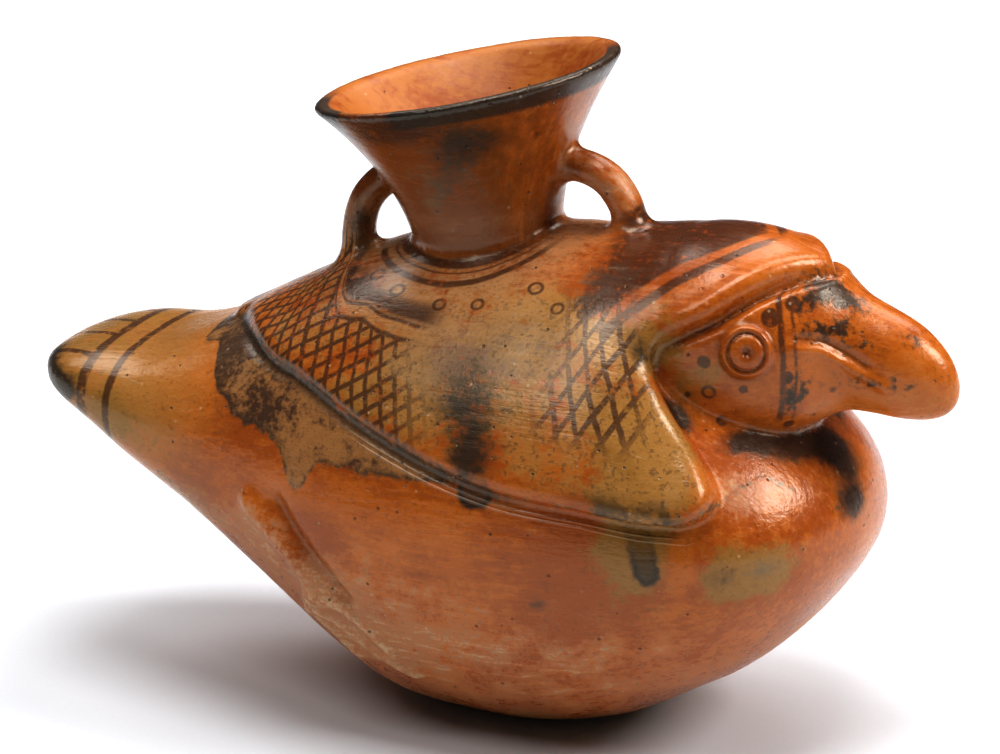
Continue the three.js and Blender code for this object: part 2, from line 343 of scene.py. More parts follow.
@dataclass
class Handle:
    """A loop handle on the midline, an elliptical rod along a bent path."""

    path: Rows
    half_width: float = 5.8
    half_thick: float = 4.7
    fillet: float = 5.0

    def distance(self, p: Points) -> Values:
        """Distance from the rod in millimetres, negative inside."""
        off = distance_to_line(p[:, [0, 2]], rounded_line(self.path))
        size = np.sqrt((off / self.half_thick) ** 2 + (p[:, 1] / self.half_width) ** 2 + 1e-9)
        slope = np.sqrt((off / self.half_thick**2) ** 2 + (p[:, 1] / self.half_width**2) ** 2 + 1e-9)
        return (size - 1) * size / np.maximum(slope, 1e-3)


@dataclass
class Relief:
    """Low relief on the clay: eye rings, mouth, feet and tooled lines, as heights over the main form."""

    eye_x: float = 64.2
    eye_angle: float = 8.0
    eye: Rows = (
        (0, 1.2), (0.6, 1.3), (1.3, 2.2), (2.4, 2.5), (3.6, 2.4), (4.4, 2.0), (4.8, 1.0), (5.2, 1.3), (5.8, 2.0),
        (6.3, 1.8), (7.1, 0.7), (8.0, 0.1), (9.5, 0),
    )
    mouth: Rows = ((76, -21.5, 121.6), (80.5, -17.6, 120.4), (86, -15.2, 117.2), (92, -14, 113.6), (98, -12.4, 110.2))
    lip_groove: Rows = ((75.5, -21.5, 124.2), (81, -17.3, 123.2), (86.5, -14.9, 120.2), (92.5, -13.6, 116.4))
    leg: Rows = ((-75, -54.5, 66), (-70, -57.5, 62), (-62, -59.5, 55), (-56, -59.5, 48), (-53, -58, 41))
    toes: Sequence[Rows] = (
        ((-55, -57.5, 44), (-46, -60.4, 41), (-38, -60.4, 36.5), (-30, -57, 29)),
        ((-57, -54, 39), (-46, -57, 33.5), (-36, -55.5, 27), (-26, -53, 21.5)),
        ((-57.5, -52.5, 37), (-51, -52.4, 30), (-44, -50.4, 24)),
    )
    calf: Rows = ((-66, -58.6, 69), (-58, -60.6, 59), (-49, -61.6, 50), (-44, -61.8, 44))
    # Width and height of each ridge; a groove's height is negative.
    mouth_size: Sequence[float] = (1.6, 1.3)
    lip_size: Sequence[float] = (1.3, -1.2)
    leg_size: Sequence[float] = (3.4, 2.6)
    calf_size: Sequence[float] = (3.0, -2.0)
    toe_size: Sequence[float] = (2.3, 1.9)
    # Height, place across the edge and width of each bead.
    edge_groove: Sequence[float] = (-0.5, -1.9, 1.2)
    brow_beads: Rows = ((0.9, 3.2, 3.0), (-1.7, -1.8, 1.5), (0.6, -4.8, 1.8))
    # The eye's dark middle, and painted shade in its groove and round the foot of its outer ring.
    eye_dirt: Rows = ((1.0, 0.0, 1.5), (0.9, 4.8, 0.6), (0.6, 7.8, 0.9))
    eye_reach: float = 9.4
    eye_depth: float = 7.0

    def heights(self, p: Points, head: Loft, values: dict[str, Values]) -> Values:
        """Height of the relief at each point of the skin.

        Args:
            p: points on the skin.
            head: the form that carries the eyes.
            values: what the skin's points carry.

        Returns:
            Millimetres along the outward normal.
        """
        right = on_right(p)
        eye = self.from_eye(right, head)
        height = np.where(eye < self.eye_reach, Curve(self.eye)(eye), 0)
        ridges = [(self.mouth, self.mouth_size), (self.lip_groove, self.lip_size), (self.leg, self.leg_size)]
        ridges += [(self.calf, self.calf_size), *((toe, self.toe_size) for toe in self.toes)]
        for line, (width, rise) in ridges:
            height += self.ridge(right, line, width, rise)
        edge_zone = smooth_step(p[:, 0], -108, -90) * (1 - smooth_step(p[:, 0], 60, 66))
        height += self.beads(values["low"], (self.edge_groove,)) * edge_zone
        roll = self.beads(values["brow"], self.brow_beads) * self.brow_zone(p, values)
        return (height + roll) * (1 - values["inside"])

    def traces(self, p: Points, head: Loft, values: dict[str, Values]) -> dict[str, Values]:
        """Painted shade in the relief's hollows with the eye's dark middle, and where its ridges are rubbed pale.

        Args:
            p: points on the skin.
            head: the form that carries the eyes.
            values: what the skin's points carry.

        Returns:
            Two more values for the points.
        """
        right = on_right(p)
        eye = self.from_eye(right, head)
        # Painted shade in the eye's groove and round its outer ring, in the mouth's and the calf's grooves and under
        # the brow, with the eye's dark middle.
        dirt = self.beads(eye, self.eye_dirt)
        dirt += self.ridge(right, self.lip_groove, 1.0, 0.8) + self.ridge(right, self.calf, 2.0, 0.45)
        dirt += self.beads(values["brow"], ((0.8, -1.8, 1.1),)) * self.brow_zone(p, values)
        wear = self.ridge(right, self.leg, 2.2, 0.5)
        for toe in self.toes:
            wear = np.maximum(wear, self.ridge(right, toe, 1.6, 1.0))
        return {"dirt": dirt, "wear": wear}

    @staticmethod
    def brow_zone(p: Points, values: dict[str, Values]) -> Values:
        """1 along the brow's edge, 0 beyond its ends."""
        return smooth_step(p[:, 0], 38, 46) * (1 - smooth_step(p[:, 0], 78, 83)) * values["by_head"]

    @staticmethod
    def beads(measure: Values, rows: Rows) -> Values:
        """Soft beads where a measure passes certain values; each row is height, place and width."""
        return sum(rise * np.exp(-(((measure - at) / width) ** 2)) for rise, at, width in rows)

    def from_eye(self, right: Points, head: Loft) -> Values:
        """Millimetres along the skin from the middle of the right eye, far for points deep under it."""
        center = head.point(self.eye_x, self.eye_angle)
        ends = [head.distance(np.stack([center + axis, center - axis])) for axis in np.eye(3) * 0.3]
        outward = np.array([end[0] - end[1] for end in ends])
        outward /= np.linalg.norm(outward)
        offset = right - center
        depth = offset @ outward
        along = np.linalg.norm(offset - depth[:, None] * outward, axis=1)
        return np.where(np.abs(depth) < self.eye_depth, along, FAR)

    @staticmethod
    def ridge(p: Points, line: Rows, width: float, height: float) -> Values:
        """A soft ridge along a line."""
        return height * np.exp(-((distance_to_line(p, rounded_line(line, 4)) / width) ** 2))


@dataclass
class BirdForm:
    """The whole jar as one distance, negative inside the clay."""

    body: Loft = field(default_factory=lambda: Loft(
        rows=(
            (-162, 80, 86, 92, 31), (-140, 69, 82, 95, 35), (-128, 61, 78, 96, 39), (-105, 46.5, 73, 103.5, 46),
            (-80, 27.5, 69, 116, 54), (-58, 11, 66, 127, 61), (-40, 1.2, 64, 133, 65), (-20, -1.2, 63, 136, 67),
            (5, -0.8, 63, 138, 67), (25, 4, 64, 135, 65), (52, 18, 65, 108, 60), (90, 39, 65, 94, 54),
        ),
        rear=Cap(-162, 26, 2.6),
        front=Cap(90, 38, 2.05),
        upper=((-162, 2.8), (-110, 2.5), (-60, 2.0), (0, 1.85), (90, 2.0)),
        lower=((-162, 2.3), (-110, 2.1), (-60, 2.05), (0, 2.15), (90, 2.1)),
    ))
    head: Loft = field(default_factory=lambda: Loft(
        rows=((0, 88, 118, 142, 33), (40, 88, 118, 143, 33), (86, 88, 118, 143.5, 29)),
        rear=Cap(0, 40, 2.6),
        front=Cap(86, 46, 2.6),
        upper=((0, 2.0), (86, 2.0)),
        lower=((0, 2.5), (86, 2.5)),
    ))
    beak: Loft = field(default_factory=lambda: Loft(
        rows=(
            (60, 97, 118, 139, 24), (77, 99, 118.5, 138, 18), (84, 99.5, 116.5, 133.5, 15.5),
            (95.5, 99, 113.8, 128.6, 12.5), (106, 97, 111, 125, 10.8), (115, 94, 108, 122, 9),
        ),
        rear=Cap(58, 12, 2.1),
        front=Cap(115, 20, 2.1),
        upper=((58, 2.1), (115, 2.1)),
        lower=((58, 2.1), (115, 2.1)),
    ))
    wings: WingPads = field(default_factory=WingPads)
    hood: Hood = field(default_factory=Hood)
    neck: Neck = field(default_factory=Neck)
    front_handle: Handle = field(default_factory=lambda: Handle(
        ((-8, 159), (2, 159.5), (9.6, 156.8), (14.3, 151.7), (16.6, 146), (17.5, 136))
    ))
    back_handle: Handle = field(default_factory=lambda: Handle(
        ((-46, 152.5), (-56.5, 150), (-63.6, 143.7), (-66.6, 136), (-67.2, 127), (-67.2, 116))
    ))
    wall: float = 6.0
    head_wall: float = 9.0
    beak_fillet: float = 5.0
    head_fillet: float = 2.2
    hood_fillet: float = 7.0
    pad_fillet: float = 1.3
    neck_fillet: float = 3.6
    lip_rounding: float = 0.8
    skin_reach: float = 16.0

    @staticmethod
    def only(p: Points, where: Values, measure: Callable[[Points], Values]) -> Values:
        """A distance that is measured only where it can matter, and is far elsewhere."""
        out = np.full(len(p), FAR)
        if where.any():
            out[where] = measure(p[where])
        return out

    def distance(self, p: Points) -> Values:
        """Distance of each point from the clay."""
        outer, hollow = self.shells(p)
        return np.maximum(smooth_max(outer, -hollow, self.lip_rounding), -p[:, 2])

    def shells(self, p: Points) -> tuple[Values, Values]:
        """Distances from the jar's outer form and from its hollow."""
        x, z = p[:, 0], p[:, 2]
        body = self.body.distance(p)
        by_head = (x > -14) & (z > 70) & (z < 165)
        head = self.only(p, by_head, self.head.distance)
        beak = self.only(p, by_head & (x > 44), self.beak.distance)
        pads = np.full(len(p), FAR)
        by_body = np.abs(body) < self.skin_reach
        pads[by_body] = self.wings.distance(self.body, p[by_body], body[by_body])
        hood = np.full(len(p), FAR)
        by_skin = by_head & (np.abs(head) < self.skin_reach)
        hood[by_skin] = self.hood.distance(self.head, p[by_skin], head[by_skin])
        outer = smooth_min(body, smooth_min(head, beak, self.beak_fillet), self.head_fillet)
        outer = smooth_min(outer, smooth_min(pads, hood, self.hood_fillet), self.pad_fillet)
        by_neck = z > 105
        wall = np.full(len(p), FAR)
        bore = np.full(len(p), FAR)
        wall[by_neck], bore[by_neck] = self.neck.distances(p[by_neck])
        outer = smooth_min(outer, wall, self.neck_fillet)
        for handle in (self.front_handle, self.back_handle):
            rod = self.only(p, by_neck & (np.abs(p[:, 1]) < 30), handle.distance)
            outer = smooth_min(outer, rod, handle.fillet)
        hollow = np.minimum(np.minimum(body + self.wall, head + self.head_wall), bore)
        return outer, hollow

    def slope(self, p: Points, reach: float = 0.2) -> Points:
        """Direction in which the distance grows."""
        axes = np.eye(3) * reach
        return np.stack([(self.distance(p + a) - self.distance(p - a)) / (2 * reach) for a in axes], 1)

    def settle(self, p: Points, rounds: int = 2) -> Points:
        """Move points onto the surface."""
        for _ in range(rounds):
            slope = self.slope(p)
            step = self.distance(p) / np.maximum((slope**2).sum(1), 0.05)
            p = p - np.clip(step, -1, 1)[:, None] * slope
        return p


@dataclass
class Skin:
    """Triangles over a form, finer where it has detail."""

    form: BirdForm
    cell: float = 2.2
    coarse: float = 4.0
    band: float = 8.0
    low: Sequence[float] = (-166.0, -74.0, -3.0)
    high: Sequence[float] = (120.0, 74.0, 196.0)
    stretch: float = 1.45

    def cells(self) -> tuple[Points, np.ndarray]:
        """Quads of a net through every cell that the surface crosses.

        Returns:
            Vertices in millimetres and quads of vertex numbers.
        """
        low, high = np.array(self.low), np.array(self.high)
        count = [int(math.ceil((high[i] - low[i]) / self.cell)) + 1 for i in range(3)]
        rough = [int(math.ceil((high[i] - low[i]) / self.coarse)) + 2 for i in range(3)]
        axes = [low[i] + self.cell * np.arange(count[i]) for i in range(3)]
        wide = [low[i] + self.coarse * np.arange(rough[i]) for i in range(3)]
        grid = np.stack([g.ravel() for g in np.meshgrid(*wide, indexing="ij")], 1)
        guess = self.form.distance(grid).reshape(rough)
        near = [np.clip(((axes[i] - low[i]) / self.coarse).round().astype(int), 0, rough[i] - 1) for i in range(3)]
        level = guess[np.ix_(*near)].copy()
        close = np.abs(level) < self.band
        fine = np.stack([g[close] for g in np.meshgrid(*axes, indexing="ij")], 1)
        level[close] = self.form.distance(fine)
        return self.net(level, count, low)

    def net(self, level: Values, count: Sequence[int], low: Values) -> tuple[Points, np.ndarray]:
        """Vertices and quads of the net, from the distances at the grid's corners."""
        inside = level < 0
        corners = [(i, j, k) for i in (0, 1) for j in (0, 1) for k in (0, 1)]
        filled = np.zeros([n - 1 for n in count], np.int8)
        for c in corners:
            filled += inside[tuple(slice(c[i], count[i] - 1 + c[i]) for i in range(3))]
        crossed = (filled > 0) & (filled < 8)
        cells = np.argwhere(crossed)
        number = np.full(crossed.shape, -1)
        number[crossed] = np.arange(len(cells))
        value = {c: level[tuple((cells + c).T)] for c in corners}
        total = np.zeros((len(cells), 3))
        hits = np.zeros(len(cells))
        for a in corners:
            for axis in range(3):
                if a[axis]:
                    continue
                b = tuple(1 if i == axis else a[i] for i in range(3))
                cut = (value[a] < 0) != (value[b] < 0)
                share = np.where(cut, value[a] / np.where(cut, value[a] - value[b], 1), 0)
                place = np.array(a, float) + share[:, None] * (np.array(b) - np.array(a))
                total[cut] += place[cut]
                hits[cut] += 1
        vertices = low + self.cell * (cells + total / hits[:, None])
        quads = [self.faces(inside, number, count, axis) for axis in range(3)]
        return vertices, np.vstack(quads)

    @staticmethod
    def faces(inside: np.ndarray, number: np.ndarray, count: Sequence[int], axis: int) -> np.ndarray:
        """Quads across the grid edges along one axis, turned to face outwards."""
        others = [i for i in range(3) if i != axis]
        first = [slice(0, n) for n in count]
        second = [slice(0, n) for n in count]
        first[axis] = slice(0, count[axis] - 1)
        second[axis] = slice(1, count[axis])
        starts = inside[tuple(first)]
        edges = np.argwhere(starts != inside[tuple(second)])
        room = np.ones(len(edges), bool)
        for i in others:
            room &= (edges[:, i] > 0) & (edges[:, i] < count[i] - 1)
        edges = edges[room]
        ring = []
        for step in ((0, 0), (1, 0), (1, 1), (0, 1)):
            cell = edges.copy()
            cell[:, others[0]] -= step[0]
            cell[:, others[1]] -= step[1]
            ring.append(number[tuple(cell.T)])
        quads = np.stack(ring, 1)
        outward = starts[tuple(edges.T)]
        flip = outward if axis != 1 else ~outward
        quads[flip] = quads[flip][:, ::-1]
        return quads

    def refine(
        self, vertices: Points, faces: np.ndarray, wanted: Callable[[Points], Values],
    ) -> tuple[Points, np.ndarray]:
        """Split each edge that is longer than wanted, and settle the new points on the form.

        Args:
            vertices: points in millimetres.
            faces: triangles.
            wanted: the edge length to aim for at each point.

        Returns:
            The finer vertices and triangles.
        """
        sides = np.stack([faces, np.roll(faces, -1, 1)], 2)
        edges, back = np.unique(np.sort(sides.reshape(-1, 2), 1), axis=0, return_inverse=True)
        back = back.reshape(-1, 3)
        middle = vertices[edges].mean(1)
        length = np.linalg.norm(vertices[edges[:, 0]] - vertices[edges[:, 1]], axis=1)
        split = length > self.stretch * wanted(middle)
        made = np.full(len(edges), -1)
        made[split] = len(vertices) + np.arange(split.sum())
        fresh = self.form.settle(middle[split])
        m = made[back]
        many = (m >= 0).sum(1)
        out = [faces[many == 0]]
        for turn in range(3):
            f = np.roll(faces, -turn, 1)
            e = np.roll(m, -turn, 1)
            one = (many == 1) & (e[:, 0] >= 0)
            a, b, c, ab = f[one, 0], f[one, 1], f[one, 2], e[one, 0]
            out += [np.stack([a, ab, c], 1), np.stack([ab, b, c], 1)]
            two = (many == 2) & (e[:, 2] < 0)
            a, b, c, ab, bc = f[two, 0], f[two, 1], f[two, 2], e[two, 0], e[two, 1]
            out += [np.stack([a, ab, c], 1), np.stack([ab, bc, c], 1), np.stack([ab, b, bc], 1)]
        a, b, c = faces[many == 3].T
        ab, bc, ca = m[many == 3].T
        out += [np.stack(t, 1) for t in ((a, ab, ca), (ab, b, bc), (ca, bc, c), (ab, bc, ca))]
        return np.vstack([vertices, fresh]), np.vstack(out)


class Stain(Enum):
    """Kinds of soft stain that firing, use and age have left on the slip; the smoke clouds also hold painted shade in
    creases under the head and on the back handle.
    """

    ASH = "ash"
    OLIVE = "olive"
    SMOKE = "smoke"
    BARE = "bare"
    EMBER = "ember"
    FLAKE = "flake"


@dataclass(frozen=True)
class Cloud:
    """A soft stain: its middle, its reach along X, Y and Z, and its strength."""

    middle: Sequence[float]
    reach: Sequence[float]
    strength: float

    def amount(self, p: Points) -> Values:
        """How much of the stain each point takes."""
        offset = (p - np.array(self.middle)) / np.array(self.reach)
        return self.strength * np.exp(-(offset**2).sum(1))


# Each row is one cloud: its middle, its reach and its strength. The bird's right side comes first.
CLOUDS: dict[Stain, Rows] = {
    Stain.ASH: (
        (-8, -46, 118, 24, 14, 12, 0.9), (8, -46, 117, 16, 12, 10, 0.6), (-22, -50, 110, 11, 12, 9, 0.5),
        (22, -26, 135, 9, 10, 8, 0.6), (-84, -36, 101, 10, 12, 7, 0.6), (-25, -25, 158, 16, 12, 14, 0.4),
        (75, -44, 66, 6, 8, 4, 0.5), (-2, 48, 116, 24, 16, 12, 0.8), (-84, 36, 101, 14, 14, 8, 0.5),
    ),
    Stain.OLIVE: (
        (10, -38, 126, 22, 12, 10, 0.9), (36, -52, 105, 14, 10, 14, 0.9), (48, -56, 92, 19, 12, 11, 1.2),
        (-34, -56, 102, 20, 10, 12, 0.8), (-72, -38, 108, 16, 14, 9, 0.4), (43, -60, 72, 11, 12, 14, 1.3),
        (71.5, -47, 64, 11.5, 16, 7, 1.9), (-128, -36, 78, 20, 14, 9, 0.9), (-100, -40, 62, 16, 14, 8, 0.6),
        (52, -31, 112, 9, 8, 8, 0.5), (2, -52, 112, 34, 14, 14, 0.55), (38, -36, 121, 9, 9, 9, 0.9),
        (-150, 0, 90, 20, 40, 12, 0.7), (0, -20, 2, 60, 40, 9, 0.8), (40, 54, 98, 20, 12, 13, 0.9),
        (-30, 56, 102, 18, 10, 12, 0.6), (-122, 36, 76, 24, 14, 10, 0.7), (8, 66, 62, 22, 14, 10, 0.6),
    ),
    # Most of these are fire clouds. The rows at (36, -38, 119), (44, -37.5, 111), (48, -36.5, 103), (62, -28, 94.5),
    # (72, -16, 91.5), (78, -3, 88) and (72, 16, 91.5) are painted shade in the crease between the wing and the cheek
    # and under the jaw, over some real soot. The row at (-63, -6, 138) is painted shade on the back handle.
    Stain.SMOKE: (
        (64, -53, 64.5, 7, 9, 5, 0.42), (-10, -51, 112, 13, 10, 9, 0.5), (-6, -58, 102, 10, 8, 9, 0.65),
        (-2, -64, 92, 9, 7, 7, 0.85), (-17, -66, 57, 3, 6, 4, 0.45), (17, -66, 53, 4, 6, 2.5, 0.5),
        (20, -66, 60, 4, 6, 2, 0.45), (36, -38, 119, 4, 5, 8, 0.7), (44, -37.5, 111, 3, 4, 7, 1.1),
        (48, -36.5, 103, 4, 4, 7, 0.9), (62, -28, 94.5, 10, 8, 3.2, 1.2), (72, -16, 91.5, 9, 9, 4, 1.1),
        (78, -3, 88, 8, 9, 5, 1.0), (87, -8, 75, 6.5, 7, 5, 1.0), (83, 0, 83, 7, 9, 7, 0.7),
        (46, -57, 84, 14, 7, 3.2, 0.7), (-19, -33, 172, 12, 10, 9, 0.75), (-26, -26, 158, 7, 8, 14, 0.35),
        (-154, -28, 84, 9, 9, 6, 0.9), (-158, -20, 86, 6, 14, 6, 1.1), (-147, -31, 84, 8, 6, 3.5, 1.0),
        (-63, -6, 138, 7, 7, 10, 0.5), (-64, -8, 118, 7, 14, 6, 0.5), (6, 62, 94, 9, 8, 8, 0.6),
        (-40, 62, 74, 14, 10, 9, 0.4), (-14, 30, 172, 11, 9, 9, 0.5), (72, 16, 91.5, 9, 9, 4, 0.8),
        (80, 9, 133, 6, 5, 3, 0.6),
    ),
    Stain.BARE: (
        (-48, -58, 36, 30, 16, 20, 0.8), (-76, -50, 56, 16, 14, 13, 0.6), (10, -58, 34, 44, 22, 20, 0.5),
        (8, 0, 154, 14, 12, 12, 0.75), (-56, -59, 46, 6, 6, 6, 0.8), (-44, -59, 36, 9, 6, 6, 0.8),
        (-32, -56, 27, 9, 6, 5, 0.7), (64, -42, 84, 9, 10, 6, 0.6), (-48, 58, 36, 30, 16, 20, 0.7),
        (20, 56, 34, 40, 20, 20, 0.4),
    ),
    Stain.EMBER: (
        (20, -62, 95, 13, 10, 8, 1.2), (-50, -60, 74, 40, 16, 9, 0.8), (82, -16, 112, 14, 10, 9, 0.8),
        (61, -50, 88, 5, 8, 9, 1.3), (57, -57, 67, 4.5, 8, 10, 1.2), (-10, 66, 88, 16, 10, 10, 0.8),
        (-50, 60, 74, 40, 16, 9, 0.7),
    ),
    Stain.FLAKE: (
        (77.5, -7, 135.5, 5, 6, 4, 1.3), (84, -7, 132, 5.5, 5, 3.5, 1.2), (75.5, -14, 131, 3, 5, 4, 1.0),
        (82, -14.5, 126, 8, 5, 2.4, 1.1), (91, -11, 122, 6, 4, 2, 0.6), (103, -4, 124, 3, 4, 4, 0.6),
        (95, -12, 112, 14, 5, 2.2, 0.5), (75, -21.5, 108, 4, 4, 7, 0.8),
    ),
}


@dataclass(frozen=True)
class Dot:
    """A painted dot, or a painted ring, on the face or the shoulder."""

    middle: tuple[float, float, float]
    size: float
    ring: bool = False


# Each row is the middle and the size of a dot on the face or the neck.
SPOTS: Rows = (
    (52.4, -32.0, 117.6, 1.9), (47.4, -32.0, 107.6, 1.2), (63.0, -29.0, 110.3, 1.5), (56.2, -28.0, 100.1, 1.4),
    (68.1, -23.0, 130.0, 2.5), (72.7, -17.6, 132.5, 2.3), (73.5, -24.0, 113.8, 1.9), (74.1, -22.4, 107.3, 2.2),
    (72.1, -18.0, 98.6, 1.5), (83.4, -14.6, 109.1, 1.0), (66.0, -29.0, 121.3, 0.7), (-3.1, -19.2, 172.8, 0.8),
)
# Each row is the middle and the size of a ring on the cheek or the shoulder.
RINGS: Rows = (
    (53.4, -31.0, 108.9, 1.7), (-40.1, -32.0, 126.6, 2.1), (-25.1, -36.8, 125.8, 1.7), (-13.5, -36.6, 127.2, 1.7),
    (1.7, -31.4, 132.5, 2.0), (10.5, -36.4, 129.0, 1.7), (18.5, -36.8, 128.1, 1.6), (-49.5, -24.5, 127.6, 2.2),
)
DOTS = tuple(Dot(tuple(row[:3]), row[3], rows is RINGS) for rows in (SPOTS, RINGS) for row in rows)


@dataclass
class SlipPaint:
    """What the painter and the fire put on the skin, as values at its points."""

    form: BirdForm
    net_border: Rows = (
        (-110, 80), (-76, 62), (-68, 46), (-61, 25), (-46, 22.5), (-26, 26), (-8, 27), (6, 22), (14, 16),
    )
    patch_depth: Rows = (
        (-128, -30), (-114, -20), (-107, 4), (-95, 14), (-80, 17), (-66, 20), (-58, 26), (-53, 18), (-44, 14),
        (-31, 10), (-16, 4.5), (-4, 0),
    )
    drips: Sequence[tuple[Rows, float]] = (
        (((-2.5, -66, 89), (-2.0, -65, 83)), 5.4),
        (((43.5, -60, 82), (46.5, -60.5, 70), (47.6, -60.8, 65)), 3.8),
        (((-22, 64, 88), (-22, 66, 76)), 4.2),
    )
    seed: int = 7

    def values(self, p: Points) -> dict[str, Values]:
        """Named values for the finish.

        Args:
            p: points of the skin in millimetres.

        Returns:
            One array for each name.
        """
        body, head, wings, hood = self.form.body, self.form.head, self.form.wings, self.form.hood
        low, lead = wings.borders(body, p)
        outer, hollow = self.form.shells(p)
        inside = (np.abs(hollow) < 1.2) & (np.abs(outer) > 1.5)
        radius, share = self.form.neck.place(p)
        by_head = smooth_step(p[:, 0], 2, 12) * (np.abs(head.distance(p) - 2) < 7) * (p[:, 2] > 96)
        stains = {
            kind.value: sum(Cloud(row[:3], row[3:6], row[6]).amount(p) for row in rows) for kind, rows in CLOUDS.items()
        }
        drip = np.full(len(p), 40.0)
        drip_end = np.zeros(len(p))
        for path, size in self.drips:
            line = np.asarray(path, float)
            away = distance_to_line(p, line) - size
            fallen = smooth_step(line[0, 2] - p[:, 2], -2.0, line[0, 2] - line[-1, 2])
            drip_end = np.where(away < drip, fallen, drip_end)
            drip = np.minimum(drip, away)
        right = on_right(p)
        reach = {dot: np.linalg.norm(right - np.array(dot.middle), axis=1) for dot in DOTS}
        depth = Curve(self.patch_depth)(p[:, 0])
        patch = np.minimum(low + depth, 0.6 - low)
        return {
            "low": low,
            "lead": lead,
            "run": wings.run(body, p, low),
            "border": Curve(self.net_border)(p[:, 0]) - low,
            "brow": head.across_edge(p, hood.brow_edge),
            "stripe": head.across_edge(p, hood.stripe_line),
            "by_head": by_head,
            "inside": inside.astype(float),
            "neck_share": share,
            "neck_radius": radius,
            "drip": drip,
            "drip_end": drip_end,
            "patch": patch,
            "dot": np.min([away - dot.size for dot, away in reach.items() if not dot.ring], 0),
            "ring": np.min([away - dot.size for dot, away in reach.items() if dot.ring], 0),
            "mouth": smooth_step(self.form.neck.flare(share) - radius, 2.0, 3.4) * (p[:, 2] > 125),
            "mottle": self.mottle(p),
            **stains,
        }

    def mottle(self, p: Points, waves: int = 30, shortest: float = 24.0, longest: float = 90.0) -> Values:
        """Slow unevenness of the slip's tone, about 0, from a fixed sum of waves."""
        draw = np.random.default_rng(self.seed)
        total = np.zeros(len(p))
        for _ in range(waves):
            way = draw.normal(size=3)
            turn = 2 * math.pi / draw.uniform(shortest, longest)
            total += np.sin(p @ (way / np.linalg.norm(way)) * turn + draw.uniform(0, 2 * math.pi))
        return total / math.sqrt(waves)


Socket = bpy.types.NodeSocket
Feed = Socket | float | Sequence[float]
Colour = tuple[float, float, float]


